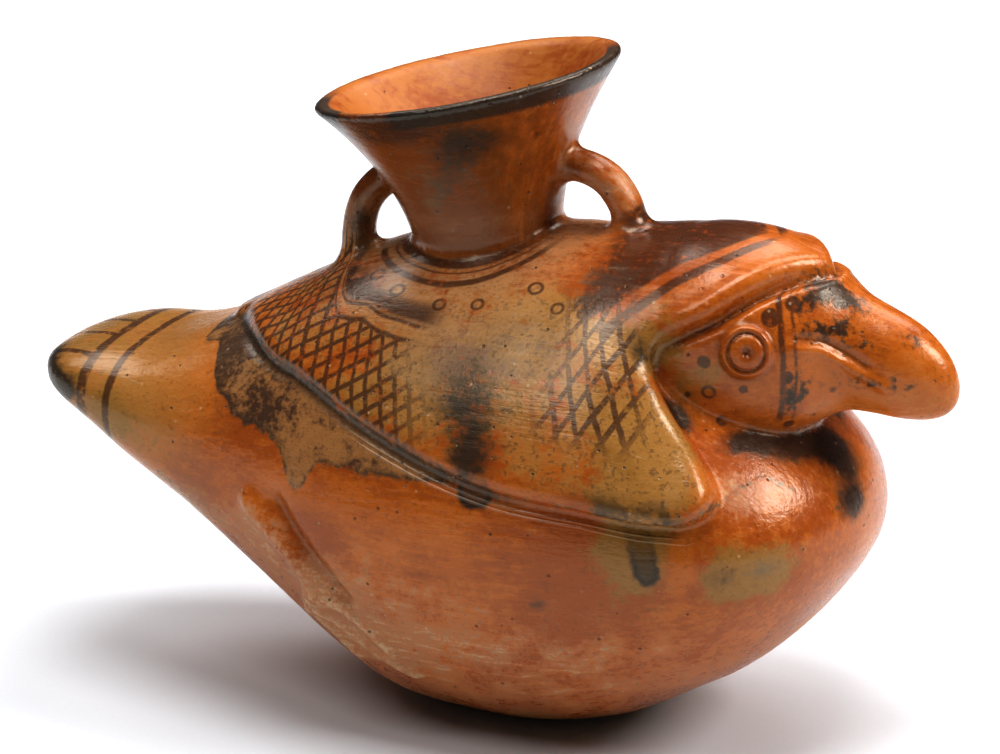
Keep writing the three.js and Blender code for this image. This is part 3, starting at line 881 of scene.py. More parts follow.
class Nodes:
    """Short calls that make the nodes of one tree."""

    def __init__(self, tree: bpy.types.NodeTree) -> None:
        """Args: tree: the tree that the nodes go into."""
        self.tree = tree

    def node(self, kind: str, **settings: object) -> bpy.types.Node:
        """A new node with its settings."""
        made = self.tree.nodes.new(kind)
        for name, value in settings.items():
            setattr(made, name, value)
        return made

    def feed(self, socket: Socket, value: Feed) -> None:
        """Link a socket, or give it a constant."""
        if isinstance(value, bpy.types.NodeSocket):
            self.tree.links.new(value, socket)
        elif socket.type == "RGBA" and len(value) == 3:
            socket.default_value = (*value, 1.0)
        else:
            socket.default_value = value

    def math(self, operation: str, a: Feed, b: Feed = 0.0) -> Socket:
        """Arithmetic on two values."""
        made = self.node("ShaderNodeMath", operation=operation)
        self.feed(made.inputs[0], a)
        self.feed(made.inputs[1], b)
        return made.outputs[0]

    def fold(self, operation: str, values: Sequence[Feed]) -> Socket:
        """The same arithmetic over several values."""
        total = values[0]
        for value in values[1:]:
            total = self.math(operation, total, value)
        return total

    def add(self, *terms: Feed) -> Socket:
        """Sum of values."""
        return self.fold("ADD", terms)

    def times(self, *factors: Feed) -> Socket:
        """Product of values."""
        return self.fold("MULTIPLY", factors)

    def most(self, *values: Feed) -> Socket:
        """Largest of several values."""
        return self.fold("MAXIMUM", values)

    def less(self, a: Feed, b: Feed) -> Socket:
        """Difference of two values."""
        return self.math("SUBTRACT", a, b)

    def ease(self, value: Feed, low: float, high: float) -> Socket:
        """Share from 0 at low to 1 at high; low may be the larger."""
        made = self.node("ShaderNodeMapRange", interpolation_type="SMOOTHSTEP")
        falling = low > high
        for name, number in (
            ("From Min", min(low, high)), ("From Max", max(low, high)),
            ("To Min", float(falling)), ("To Max", float(not falling)),
        ):
            made.inputs[name].default_value = number
        self.feed(made.inputs["Value"], value)
        return made.outputs[0]

    def between(self, value: Feed, low: float, high: float, soft: float) -> Socket:
        """1 from low to high, with soft ends."""
        return self.times(self.ease(value, low - soft, low + soft), self.ease(value, high + soft, high - soft))

    def lines(self, value: Feed, rows: Sequence[tuple[float, float]], soft: float = 0.3) -> Socket:
        """Painted lines where a measure in millimetres passes certain values.

        Args:
            value: the measure.
            rows: place and width of each line, in rising order.
            soft: half width of a line's soft border.

        Returns:
            1 on the lines, 0 off them.
        """
        margin = 2.0
        low, high = rows[0][0] - rows[0][1] - margin, rows[-1][0] + rows[-1][1] + margin
        ramp = self.node("ShaderNodeValToRGB")
        stops = ramp.color_ramp.elements
        stops[0].position, stops[1].position = 0.0, 1.0
        for stop in stops:
            stop.color = (0, 0, 0, 1)
        for at, width in rows:
            half, edge = width / 2, min(soft, 0.45 * width)
            for offset, level in ((-half - edge, 0), (-half + edge, 1), (half - edge, 1), (half + edge, 0)):
                stops.new((at + offset - low) / (high - low)).color = (level, level, level, 1)
        spread = self.node("ShaderNodeMapRange")
        spread.inputs["From Min"].default_value, spread.inputs["From Max"].default_value = low, high
        self.feed(spread.inputs["Value"], value)
        self.feed(ramp.inputs[0], spread.outputs[0])
        return ramp.outputs["Color"]

    def attribute(self, name: str) -> Socket:
        """A value that the skin's points carry."""
        return self.node("ShaderNodeAttribute", attribute_name=name).outputs["Fac"]

    def noise(self, place: Socket, size: float, detail: float = 3.0, rough: float = 0.55) -> Socket:
        """Even noise about 0.5 with lumps of a size in millimetres."""
        made = self.node("ShaderNodeTexNoise")
        self.feed(made.inputs["Vector"], place)
        made.inputs["Scale"].default_value = 1.0 / size
        made.inputs["Detail"].default_value = detail
        made.inputs["Roughness"].default_value = rough
        return made.outputs["Fac"]

    def cells(self, place: Socket, size: float) -> tuple[Socket, Socket]:
        """Distance from the nearest of many scattered points, and a random shade of its cell."""
        made = self.node("ShaderNodeTexVoronoi", feature="F1")
        self.feed(made.inputs["Vector"], place)
        made.inputs["Scale"].default_value = 1.0 / size
        return made.outputs["Distance"], made.outputs["Color"]

    def stretched(self, place: Socket, factors: Sequence[float], shift: Sequence[float] = (0, 0, 0)) -> Socket:
        """A place with its axes scaled and shifted."""
        made = self.node("ShaderNodeMapping")
        self.feed(made.inputs["Vector"], place)
        made.inputs["Scale"].default_value = tuple(factors)
        made.inputs["Location"].default_value = tuple(shift)
        return made.outputs[0]

    def stations(self) -> Socket:
        """The surface point in millimetres on the bird's own stations."""
        place = self.node("ShaderNodeTexCoord").outputs["Object"]
        return self.stretched(place, (1 / MM,) * 3, (-STATION_SHIFT, 0, 0))

    def mix(self, share: Feed, under: Feed, over: Feed) -> Socket:
        """One colour over another by a share."""
        made = self.node("ShaderNodeMix", data_type="RGBA", clamp_factor=True)
        self.feed(made.inputs[0], share)
        self.feed(made.inputs[6], under)
        self.feed(made.inputs[7], over)
        return made.outputs[2]

    def lay(self, under: Feed, over: Feed, *shares: Feed) -> Socket:
        """One colour over another by the product of some shares."""
        return self.mix(self.times(*shares), under, over)

    def sway(self, noise: Socket, size: Feed) -> Socket:
        """A noise moved from about 0.5 to about 0, and scaled."""
        return self.times(self.less(noise, 0.5), size)

    def parts(self, place: Socket) -> tuple[Socket, Socket, Socket]:
        """X, Y and Z of a place."""
        made = self.node("ShaderNodeSeparateXYZ")
        self.feed(made.inputs[0], place)
        return tuple(made.outputs)

    def group(self, tree: bpy.types.NodeTree, **feeds: Feed) -> dict[str, Socket]:
        """Place a node group.

        Args:
            tree: the group.
            feeds: values for its inputs by name.

        Returns:
            The group's outputs by name.
        """
        made = self.node("ShaderNodeGroup", node_tree=tree)
        for name, value in feeds.items():
            self.feed(made.inputs[name], value)
        return {socket.name: socket for socket in made.outputs}

    def relief(self, height: Socket) -> Socket:
        """A normal bent by a height in millimetres."""
        made = self.node("ShaderNodeBump")
        made.inputs["Strength"].default_value = 1.0
        made.inputs["Distance"].default_value = MM
        self.feed(made.inputs["Height"], height)
        return made.outputs["Normal"]


class Effect:
    """A shared surface effect as a shader node group."""

    def __init__(self, name: str, inputs: dict[str, float | None], outputs: Sequence[str]) -> None:
        """Make the group and its sockets.

        Args:
            name: the group's name.
            inputs: default of each input, or None for a place.
            outputs: names of the values that it puts out.
        """
        self.tree = bpy.data.node_groups.new(name, "ShaderNodeTree")
        face = self.tree.interface
        for label, default in inputs.items():
            kind = "NodeSocketVector" if default is None else "NodeSocketFloat"
            socket = face.new_socket(name=label, in_out="INPUT", socket_type=kind)
            if default is not None:
                socket.default_value = default
        for label in outputs:
            face.new_socket(name=label, in_out="OUTPUT", socket_type="NodeSocketFloat")
        self.nodes = Nodes(self.tree)
        self.source = self.tree.nodes.new("NodeGroupInput").outputs
        self.sink = self.tree.nodes.new("NodeGroupOutput").inputs


@dataclass(frozen=True)
class Burnish:
    """Strokes of the burnishing stone: long shallow marks along the bird, and fine scratches."""

    along: Sequence[float] = (0.10, 0.8, 0.8)
    width: float = 1.5

    def make(self) -> bpy.types.NodeTree:
        """The node group."""
        effect = Effect("Burnish", {"Place": None, "Stroke": 0.2, "Scratch": 0.1}, ("Streak", "Scratches", "Height"))
        n, source = effect.nodes, effect.source
        streak = n.noise(n.stretched(source["Place"], self.along), self.width, 3, 0.6)
        scratch = n.ease(streak, 0.64, 0.76)
        n.feed(effect.sink["Streak"], streak)
        n.feed(effect.sink["Scratches"], scratch)
        height = n.sway(streak, source["Stroke"])
        n.feed(effect.sink["Height"], n.less(height, n.times(scratch, source["Scratch"])))
        return effect.tree


@dataclass(frozen=True)
class Grit:
    """Small pits and pale specks of grit in the clay."""

    spacing: float = 4.6

    def make(self) -> bpy.types.NodeTree:
        """The node group."""
        effect = Effect("Grit", {"Place": None, "Amount": 1.0}, ("Pit", "Speck"))
        n, source = effect.nodes, effect.source
        off, shade = n.cells(source["Place"], self.spacing)
        near = n.times(n.ease(off, 0.13, 0.06), source["Amount"])
        n.feed(effect.sink["Pit"], n.times(near, n.ease(shade, 0.58, 0.64)))
        n.feed(effect.sink["Speck"], n.times(near, n.ease(shade, 0.34, 0.28)))
        return effect.tree


@dataclass(frozen=True)
class RaggedStain:
    """A stain's soft amount turned into an uneven, clouded mask."""

    def make(self) -> bpy.types.NodeTree:
        """The node group."""
        effect = Effect("Ragged stain", {"Amount": 0.0, "Cloud": 0.5, "Break": 1.0}, ("Mask",))
        n, source = effect.nodes, effect.source
        value = n.add(source["Amount"], n.sway(source["Cloud"], source["Break"]))
        n.feed(effect.sink["Mask"], n.times(n.ease(value, 0.15, 0.85), n.ease(source["Amount"], 0.03, 0.25)))
        return effect.tree


@dataclass(frozen=True)
class ClayColours:
    """Colours of the slip, the fire and the paint, and of painted shade and painted reflection, linear."""

    slip: Colour = (0.46, 0.124, 0.012)
    slip_deep: Colour = (0.32, 0.072, 0.008)
    slip_pale: Colour = (0.56, 0.20, 0.045)
    # Pale of wear, also a painted floor reflection low on the body.
    worn: Colour = (0.42, 0.19, 0.088)
    shoulder: Colour = (0.58, 0.31, 0.145)
    tan: Colour = (0.37, 0.18, 0.046)
    olive: Colour = (0.28, 0.150, 0.034)
    ash: Colour = (0.150, 0.118, 0.078)
    # Black of soot and paint, also the colour of the painted shade.
    smoke: Colour = (0.017, 0.014, 0.011)
    # Darker brown on the neck: partly fire smudging, partly painted shade.
    neck_brown: Colour = (0.17, 0.044, 0.005)
    paint: Colour = (0.058, 0.020, 0.010)
    patch: Colour = (0.046, 0.031, 0.021)
    patch_pale: Colour = (0.34, 0.165, 0.058)
    inside: Colour = (0.43, 0.148, 0.024)
    speck: Colour = (0.62, 0.46, 0.28)


CARRIED = (
    "low", "lead", "run", "border", "brow", "stripe", "by_head", "neck_share", "neck_radius", "drip", "drip_end",
    "patch", "dot", "ring", "mottle", "mouth", "dirt", "wear",
)
STAIN_BREAKS = {
    Stain.EMBER: 2.0, Stain.OLIVE: 3.0, Stain.ASH: 3.4, Stain.BARE: 3.0, Stain.SMOKE: 1.8, Stain.FLAKE: 4.4,
}


class Surface:
    """The nodes that the layers of the outer finish share."""

    def __init__(
        self, n: Nodes, burnish: bpy.types.NodeTree, grit: bpy.types.NodeTree, ragged: bpy.types.NodeTree,
    ) -> None:
        """Make the place, what the skin's points carry, the noises and the masks of the stains.

        Args:
            n: the material's nodes.
            burnish: the burnishing marks.
            grit: pits and specks.
            ragged: what breaks up a stain.
        """
        self.n = n
        place = n.stations()
        self.place = place
        self.x, self.y, self.z = n.parts(place)
        self.values = {key: n.attribute(key) for key in (*CARRIED, *(kind.value for kind in Stain))}
        self.strokes = n.group(burnish, Place=place, Stroke=0.15, Scratch=0.05)
        self.streak = self.strokes["Streak"]
        self.grit = n.group(grit, Place=place, Amount=1.0)
        self.grain = n.noise(place, 1.2, 2)
        self.middle = n.noise(place, 11, 4, 0.62)
        self.fine = n.noise(place, 2.3, 3, 0.65)
        self.cloud = n.add(n.times(self.middle, 0.62), n.times(self.fine, 0.38))
        self.fine_cloud = n.add(n.times(self.middle, 0.4), n.times(self.fine, 0.6))
        self.tone = n.add(self.cloud, n.times(self.values["mottle"], 0.12), n.sway(self.streak, 0.5))
        self.masks = {}
        for kind, size in STAIN_BREAKS.items():
            form = self.fine_cloud if kind is Stain.FLAKE else self.cloud
            self.masks[kind] = n.group(ragged, Amount=self.values[kind.value], Cloud=form, Break=size)["Mask"]
        # Pale low on the body: partly wear, partly a painted floor reflection.
        self.low_worn = n.times(n.ease(self.z, 62, 24), n.ease(self.cloud, 0.36, 0.6), 0.5)


@dataclass
class SlipFinish:
    """The jar's outer finish: burnished slip, fire clouds and painted lines."""

    burnish: bpy.types.NodeTree
    grit: bpy.types.NodeTree
    ragged: bpy.types.NodeTree
    colours: ClayColours = ClayColours()
    # Pitch, share along the edge, share up from it and line width of each net.
    fine_net: Sequence[float] = (6.8, 1.18, 0.87, 1.3)
    coarse_net: Sequence[float] = (9.6, 1.25, 0.80, 1.7)
    # Place and width of each line.
    tail_stripes: Rows = ((-140.0, 3.2), (-130.2, 2.6))
    feather_lines: Rows = ((-25.5, 2.4), (-11.0, 2.2), (2.5, 2.2), (16.0, 2.2))
    neck_rings: Rows = ((23.6, 2.6), (26.6, 0.6), (30.4, 2.1))
    cheek_lines: Rows = ((72.8, 1.5), (75.8, 0.7))
    border_lines: Rows = ((-4.4, 1.1), (0.0, 1.3))
    hood_stripe: Rows = ((0.0, 2.8),)
    ring_line: Rows = ((0.0, 0.95),)
    tool_marks: Rows = ((-4.8, 0.45), (-3.4, 0.5))
    unsteady: float = 2.0
    roughness: float = 0.25
    gloss: float = 0.55
    sheen: Colour = (1.0, 0.90, 0.74)

    def make(self, name: str) -> bpy.types.Material:
        """The material.

        Args:
            name: its name.

        Returns:
            The finished material.
        """
        material = bpy.data.materials.new(name)
        material.use_nodes = True
        n = Nodes(material.node_tree)
        s = Surface(n, self.burnish, self.grit, self.ragged)
        shader = material.node_tree.nodes["Principled BSDF"]
        soot = self.soot(s)
        n.feed(shader.inputs["Base Color"], self.colour(s, soot))
        rough = n.add(self.roughness, self.dull(s, soot), n.sway(s.streak, 0.35))
        n.feed(shader.inputs["Roughness"], n.math("MINIMUM", n.most(rough, 0.2), 0.8))
        tooled = n.times(n.lines(s.values["low"], self.tool_marks, 0.2), n.between(s.x, -40, 60, 6), -0.15)
        strokes = n.times(s.strokes["Height"], n.ease(s.values["neck_share"], 0.3, 0.05))
        height = n.add(strokes, n.times(s.grain, 0.06), n.times(s.grit["Pit"], -0.25), tooled)
        n.feed(shader.inputs["Normal"], n.relief(height))
        shader.inputs["Specular IOR Level"].default_value = self.gloss
        shader.inputs["Specular Tint"].default_value = (*self.sheen, 1.0)
        return material

    def colour(self, s: Surface, soot: Socket) -> Socket:
        """The finish's colour, layer over layer.

        Args:
            s: the finish's shared nodes.
            soot: where the clay is black from fire and paint, and where shade is painted black.

        Returns:
            The colour.
        """
        colour = self.fired(s)
        for layer in (self.on_wing, self.on_patch, self.on_paint):
            colour = layer(s, colour)
        return self.aged(s, s.n.mix(soot, colour, self.colours.smoke))

    @staticmethod
    def dull(s: Surface, soot: Socket) -> Socket:
        """How much rougher than the burnished slip the worn, sooty and inner clay is, the clay under painted shade and
        painted floor reflection included.
        """
        n = s.n
        return n.add(
            n.times(s.masks[Stain.BARE], 0.22), n.times(s.values["mouth"], 0.18), n.times(s.low_worn, 0.3),
            n.times(soot, 0.06), n.times(s.masks[Stain.ASH], 0.06),
        )

    def fired(self, s: Surface) -> Socket:
        """The slip as the fire and wear have left it, with painted shade on the neck and a painted floor reflection low
        on the body.
        """
        n, c, masks = s.n, self.colours, s.masks
        colour = n.mix(n.ease(s.tone, 0.34, 0.64), c.slip_deep, c.slip)
        colour = n.lay(colour, c.slip_pale, n.ease(s.tone, 0.56, 0.82), 0.45)
        # Darker brown on the neck, more towards its back: partly fire smudging, partly painted shade.
        drawn = n.noise(n.stretched(s.place, (0.9, 0.9, 0.07)), 2.2, 3, 0.6)
        rear = n.ease(n.add(s.x, n.sway(drawn, 60.0)), 16, -18)
        colour = n.lay(colour, c.neck_brown, n.ease(s.values["neck_share"], 0.0, 0.14), rear, 0.85)
        # Pale clay low on the body and on bare spots: wear, with a painted floor reflection low on the body.
        colour = n.mix(n.most(s.low_worn, n.times(masks[Stain.BARE], 0.75)), colour, c.worn)
        tail = n.ease(n.add(s.x, n.sway(s.cloud, 50.0)), -80, -120)
        colour = n.lay(colour, c.tan, tail, n.ease(s.z, 60, 86), 0.8)
        colour = n.lay(colour, c.olive, masks[Stain.OLIVE], 0.82)
        colour = n.lay(colour, c.slip, masks[Stain.EMBER], 0.8)
        grey = n.mix(n.ease(s.cloud, 0.53, 0.72), c.ash, c.olive)
        return n.lay(colour, grey, masks[Stain.ASH], 0.75)

    def on_wing(self, s: Surface, colour: Socket) -> Socket:
        """Tan and grime on the wings, and a pale band round the foot of the neck."""
        n, c, v = s.n, self.colours, s.values
        wing = n.times(n.ease(v["low"], 1, 8), n.ease(v["lead"], -1, 4), n.ease(v["neck_share"], 0.1, 0.0))
        wing = n.times(wing, n.ease(v["by_head"], 0.6, 0.1))
        mottled = n.less(s.cloud, n.times(v["mottle"], 0.06))
        colour = n.lay(colour, c.tan, wing, n.ease(mottled, 0.38, 0.56), 0.7)
        grime = n.add(s.fine, n.sway(s.grain, 0.8))
        colour = n.lay(colour, c.patch, wing, n.ease(grime, 0.52, 0.70), 0.3)
        band = n.times(n.ease(v["neck_radius"], 21, 28), n.ease(v["neck_radius"], 54, 29))
        band = n.times(band, n.ease(v["neck_share"], 0.35, 0.25), n.ease(s.z, 112, 120))
        return n.lay(colour, c.shoulder, band, n.ease(s.fine_cloud, 0.32, 0.56), 0.65)

    def on_patch(self, s: Surface, colour: Socket) -> Socket:
        """The torn dark patch behind and under the right wing."""
        n, c = s.n, self.colours
        near_side = n.ease(s.y, 26, 14)
        torn = n.add(s.values["patch"], n.sway(s.middle, 7.0), n.sway(s.fine, 2.0))
        faded = n.ease(n.add(s.cloud, n.times(n.ease(s.x, -96, -46), 0.13), n.sway(s.grain, 0.3)), 0.46, 0.66)
        colour = n.lay(colour, n.mix(faded, c.patch, c.patch_pale), n.ease(torn, -0.4, 1.0), near_side, 0.9)
        rim = n.lines(torn, ((0.8, 1.6),), 0.7)
        return n.lay(colour, c.patch, rim, near_side, n.ease(s.fine, 0.4, 0.55), 0.8)

    def on_paint(self, s: Surface, colour: Socket) -> Socket:
        """Broad and fine painting, painted shade and wear on the relief, and the clay inside the mouth."""
        n, c, v, x = s.n, self.colours, s.values, s.x
        wedge = n.times(n.between(v["border"], -26, -5.5, 1.0), n.between(x, -66, -24, 5), n.ease(s.z, 106, 110))
        wedge = n.times(wedge, n.ease(v["neck_radius"], 35, 39), n.ease(s.middle, 0.30, 0.44))
        crown = n.times(n.ease(n.add(v["stripe"], n.sway(s.middle, 2.0)), 3.9, 5.2), v["by_head"])
        crown = n.times(crown, n.ease(n.add(x, n.times(n.add(s.middle, s.fine), 9.0)), 21, 30), n.ease(x, 62, 54))
        colour = n.lay(colour, c.paint, n.most(wedge, crown), n.ease(s.fine_cloud, 0.30, 0.48), 0.9)
        flake = n.times(n.ease(s.fine_cloud, 0.32, 0.48), n.ease(s.masks[Stain.ASH], 1.2, 0.3))
        colour = n.lay(colour, c.paint, self.painted(s), flake, 0.85)
        # Painted shade in the relief's hollows, with the eye's dark middle.
        colour = n.lay(colour, c.paint, v["dirt"], n.ease(s.fine_cloud, 0.30, 0.55), 0.75)
        colour = n.lay(colour, c.speck, v["wear"], n.ease(s.fine, 0.40, 0.62), 0.7)
        return n.mix(v["mouth"], colour, n.mix(n.ease(s.tone, 0.30, 0.62), c.slip_deep, c.inside))

    def aged(self, s: Surface, colour: Socket) -> Socket:
        """Scratches, scuffs, flecks, specks and pits."""
        n, c = s.n, self.colours
        colour = n.lay(colour, c.speck, s.strokes["Scratches"], n.ease(s.fine, 0.42, 0.6), 0.16)
        scuff = n.ease(n.add(s.grain, n.sway(s.streak, 1.2)), 0.52, 0.75)
        colour = n.lay(colour, c.speck, s.masks[Stain.BARE], scuff, 0.45)
        fleck = n.ease(n.add(s.grain, n.sway(s.fine, 0.5)), 0.55, 0.72)
        colour = n.lay(colour, c.paint, fleck, n.less(0.3, n.times(s.values["mouth"], 0.24)))
        colour = n.lay(colour, c.speck, s.grit["Speck"], 0.4)
        return n.lay(colour, c.smoke, s.grit["Pit"], 0.7)

    @staticmethod
    def soot(s: Surface) -> Socket:
        """Black from the fire and the paint's drips and on the lip, with painted shade along and under the wing's lower
        edge, in the creases under the head and on the back handle.

        Args:
            s: the finish's shared nodes.

        Returns:
            1 where the clay is black.
        """
        n, v, x, y = s.n, s.values, s.x, s.y
        # Painted shade: a black band along and under the wing's overhanging lower edge, over the edge's own dark line.
        edge = n.times(n.lines(v["low"], ((-0.8, 4.0),), 1.7), n.between(x, -98, 10, 8), n.ease(s.cloud, 0.34, 0.52))
        tip = n.times(n.between(v["low"], 0.0, 5.5, 3.0), n.between(x, 30, 58, 5), n.ease(s.cloud, 0.42, 0.58))
        lip = n.times(n.ease(v["neck_share"], 0.875, 0.905), n.ease(v["neck_radius"], 39.6, 40.6))
        rubbed = n.add(s.cloud, n.times(n.between(x, -57, -35, 3), n.ease(y, -20, -28), -0.28))
        lip = n.times(lip, n.ease(rubbed, 0.26, 0.36), n.ease(n.add(y, n.times(x, -0.35)), 26, 12))
        drop, fallen = n.add(v["drip"], n.sway(s.fine, 2.4)), v["drip_end"]
        dark = n.add(0.14, n.times(fallen, fallen, 0.68), n.times(n.ease(drop, -2.4, -0.8), fallen, 0.15))
        drip = n.times(n.ease(drop, 0.9, -0.9), n.math("MINIMUM", dark, 0.97))
        # Fire clouds and flaking, with painted shade where smoke clouds sit in the creases under the head and on the
        # back handle.
        smoke = n.times(n.most(s.masks[Stain.SMOKE], s.masks[Stain.FLAKE]), n.less(1.0, v["mouth"]), 0.92)
        return n.most(drip, smoke, n.times(edge, 0.85), n.times(tip, 0.7), n.times(lip, 0.93))

    def painted(self, s: Surface) -> Socket:
        """All dark painted lines as one mask.

        Args:
            s: the finish's shared nodes.

        Returns:
            1 on the paint.
        """
        n, v, x, y, z = s.n, s.values, s.x, s.y, s.z
        shake = n.sway(s.middle, self.unsteady)
        slight = n.times(shake, 0.6)
        low, run, shaky_x = (n.add(measure, shake) for measure in (v["low"], v["run"], x))
        on_tail = n.times(n.ease(z, 62, 74), n.ease(x, -112, -122))
        feather = n.add(y, n.times(n.add(x, 140.0), 0.46), shake)
        on_tip = n.times(n.ease(x, -139.5, -140.5), n.ease(z, 84, 88))
        on_back = n.ease(v["neck_share"], 0.12, 0.04)
        in_net = n.times(n.ease(v["border"], -0.2, 0.6), n.ease(low, 0.8, 1.8), n.ease(x, -10, -34), on_back)
        in_front = n.times(n.between(x, 14, 42, 5), n.ease(low, 12, 22), n.ease(v["lead"], 1, 3), n.ease(z, 136, 130))
        on_border = n.times(n.between(x, -70, -20, 4), n.ease(z, 104, 108), on_back)
        by_neck = n.times(n.ease(v["neck_share"], 0.2, 0.12), n.ease(x, 10, -4), n.ease(z, 112, 116))
        by_neck = n.times(by_neck, n.ease(n.math("ABSOLUTE", y), 7, 11))
        on_hood = n.times(v["by_head"], n.ease(x, 63.0, 59.5))
        bow = n.math("POWER", n.math("ABSOLUTE", n.less(z, 115.0)), 2.0)
        on_cheek = n.times(n.between(z, 100, 136, 2), n.ease(v["by_head"], 0.2, 0.8), n.ease(v["brow"], 0, -2))
        lines = (
            (n.lines(shaky_x, self.tail_stripes), on_tail),
            (n.lines(feather, self.feather_lines), on_tip),
            (self.net(n, run, low, self.fine_net), in_net),
            (self.net(n, run, low, self.coarse_net), in_front),
            (n.lines(n.add(v["border"], shake), self.border_lines), on_border),
            (n.lines(n.add(v["neck_radius"], slight), self.neck_rings), by_neck),
            (n.lines(n.add(v["stripe"], slight), self.hood_stripe), on_hood),
            (n.lines(n.add(shaky_x, n.times(bow, 0.011)), self.cheek_lines), on_cheek),
        )
        dots = n.ease(n.add(v["dot"], shake), 0.45, -0.3)
        return n.most(*(n.times(line, zone) for line, zone in lines), dots, n.lines(v["ring"], self.ring_line))

    @staticmethod
    def net(n: Nodes, run: Socket, low: Socket, sizes: Sequence[float]) -> Socket:
        """Crossing lines of a scale net over the wing.

        Args:
            n: the material's nodes.
            run: millimetres along the wing's edge.
            low: millimetres above the edge.
            sizes: pitch, share along, share up and line width.

        Returns:
            1 on the lines.
        """
        pitch, along, up, width = sizes
        masks = []
        for sign in (1.0, -1.0):
            slant = n.add(n.times(run, along), n.times(low, up * sign))
            off = n.times(n.math("PINGPONG", slant, pitch / 2), 1 / math.hypot(along, up))
            masks.append(n.ease(off, width / 2 + 0.3, width / 2 - 0.25))
        return n.most(*masks)


@dataclass
class InsideFinish:
    """The plain clay inside the jar."""

    burnish: bpy.types.NodeTree
    grit: bpy.types.NodeTree
    colours: ClayColours = ClayColours()
    roughness: float = 0.48

    def make(self, name: str) -> bpy.types.Material:
        """The material."""
        material = bpy.data.materials.new(name)
        material.use_nodes = True
        n = Nodes(material.node_tree)
        shader = material.node_tree.nodes["Principled BSDF"]
        c = self.colours
        place = n.stations()
        strokes = n.group(self.burnish, Place=place, Stroke=0.25, Scratch=0.05)
        grit = n.group(self.grit, Place=place, Amount=1.0)
        colour = n.mix(n.ease(n.noise(place, 12, 4, 0.6), 0.22, 0.55), c.slip, c.inside)
        colour = n.lay(colour, c.slip_pale, n.ease(strokes["Streak"], 0.5, 0.75), 0.4)
        colour = n.lay(colour, c.slip_deep, grit["Pit"], 0.6)
        n.feed(shader.inputs["Base Color"], colour)
        n.feed(shader.inputs["Roughness"], n.add(self.roughness, n.sway(strokes["Streak"], 0.3)))
        n.feed(shader.inputs["Normal"], n.relief(n.add(strokes["Height"], n.times(grit["Pit"], -0.2))))
        return material


@dataclass
class HandFinish:
    """The unevenness of hand work, as geometry nodes over the skin."""

    lump: float = 0.5 * MM
    lump_size: float = 26.0 * MM
    dent: float = 0.2 * MM
    dent_size: float = 8.0 * MM
    seed: float = 4.0

    def tree(self) -> bpy.types.NodeTree:
        """The node tree, with its sizes as named inputs."""
        tree = bpy.data.node_groups.new("Hand finish", "GeometryNodeTree")
        face, link, new, n = tree.interface, tree.links.new, tree.nodes.new, Nodes(tree)
        face.new_socket(name="Skin", in_out="INPUT", socket_type="NodeSocketGeometry")
        for name in ("Lump Height", "Lump Size", "Dent Height", "Dent Size", "Seed"):
            face.new_socket(name=name, in_out="INPUT", socket_type="NodeSocketFloat")
        for name in ("Slip", "Inside"):
            face.new_socket(name=name, in_out="INPUT", socket_type="NodeSocketMaterial")
        face.new_socket(name="Skin", in_out="OUTPUT", socket_type="NodeSocketGeometry")
        source = new("NodeGroupInput").outputs
        place = new("GeometryNodeInputPosition").outputs[0]
        heights = []
        for kind in ("Lump", "Dent"):
            noise = n.node("ShaderNodeTexNoise", noise_dimensions="4D")
            link(place, noise.inputs["Vector"])
            link(source["Seed"], noise.inputs["W"])
            link(n.math("DIVIDE", 1.0, source[f"{kind} Size"]), noise.inputs["Scale"])
            noise.inputs["Detail"].default_value = 1.0
            heights.append(n.sway(noise.outputs[0], source[f"{kind} Height"]))
        offset = n.node("ShaderNodeVectorMath", operation="SCALE")
        link(new("GeometryNodeInputNormal").outputs[0], offset.inputs[0])
        link(n.times(n.add(*heights), self.carried(n, "free")), offset.inputs["Scale"])
        move = new("GeometryNodeSetPosition")
        link(source["Skin"], move.inputs["Geometry"])
        link(offset.outputs[0], move.inputs["Offset"])
        smooth = new("GeometryNodeSetShadeSmooth")
        link(move.outputs[0], smooth.inputs["Geometry"])
        whole = new("GeometryNodeRealizeInstances")
        link(smooth.outputs[0], whole.inputs[0])
        outside, inner = new("GeometryNodeSetMaterial"), new("GeometryNodeSetMaterial")
        link(whole.outputs[0], outside.inputs["Geometry"])
        link(source["Slip"], outside.inputs["Material"])
        link(outside.outputs[0], inner.inputs["Geometry"])
        link(n.math("GREATER_THAN", self.carried(n, "inside"), 0.5), inner.inputs["Selection"])
        link(source["Inside"], inner.inputs["Material"])
        link(inner.outputs[0], new("NodeGroupOutput").inputs[0])
        return tree

    @staticmethod
    def carried(n: Nodes, name: str) -> Socket:
        """A value that the skin's points carry."""
        made = n.node("GeometryNodeInputNamedAttribute", data_type="FLOAT")
        made.inputs["Name"].default_value = name
        return made.outputs[0]

    def apply(self, piece: bpy.types.Object, slip: bpy.types.Material, inside: bpy.types.Material) -> None:
        """Work the tree into the piece's own mesh.

        Args:
            piece: the skin.
            slip: the outer finish.
            inside: the finish of the hollow.
        """
        modifier = piece.modifiers.new("Hand finish", "NODES")
        modifier.node_group = self.tree()
        inputs = {
            "Lump Height": self.lump, "Lump Size": self.lump_size, "Dent Height": self.dent,
            "Dent Size": self.dent_size, "Seed": self.seed, "Slip": slip, "Inside": inside,
        }
        for item in modifier.node_group.interface.items_tree:
            if item.in_out == "INPUT" and item.name in inputs:
                modifier[item.identifier] = inputs[item.name]
        plain = bpy.data.meshes.new_from_object(piece.evaluated_get(bpy.context.evaluated_depsgraph_get()))
        piece.modifiers.remove(modifier)
        rough = piece.data
        piece.data = plain
        bpy.data.meshes.remove(rough)


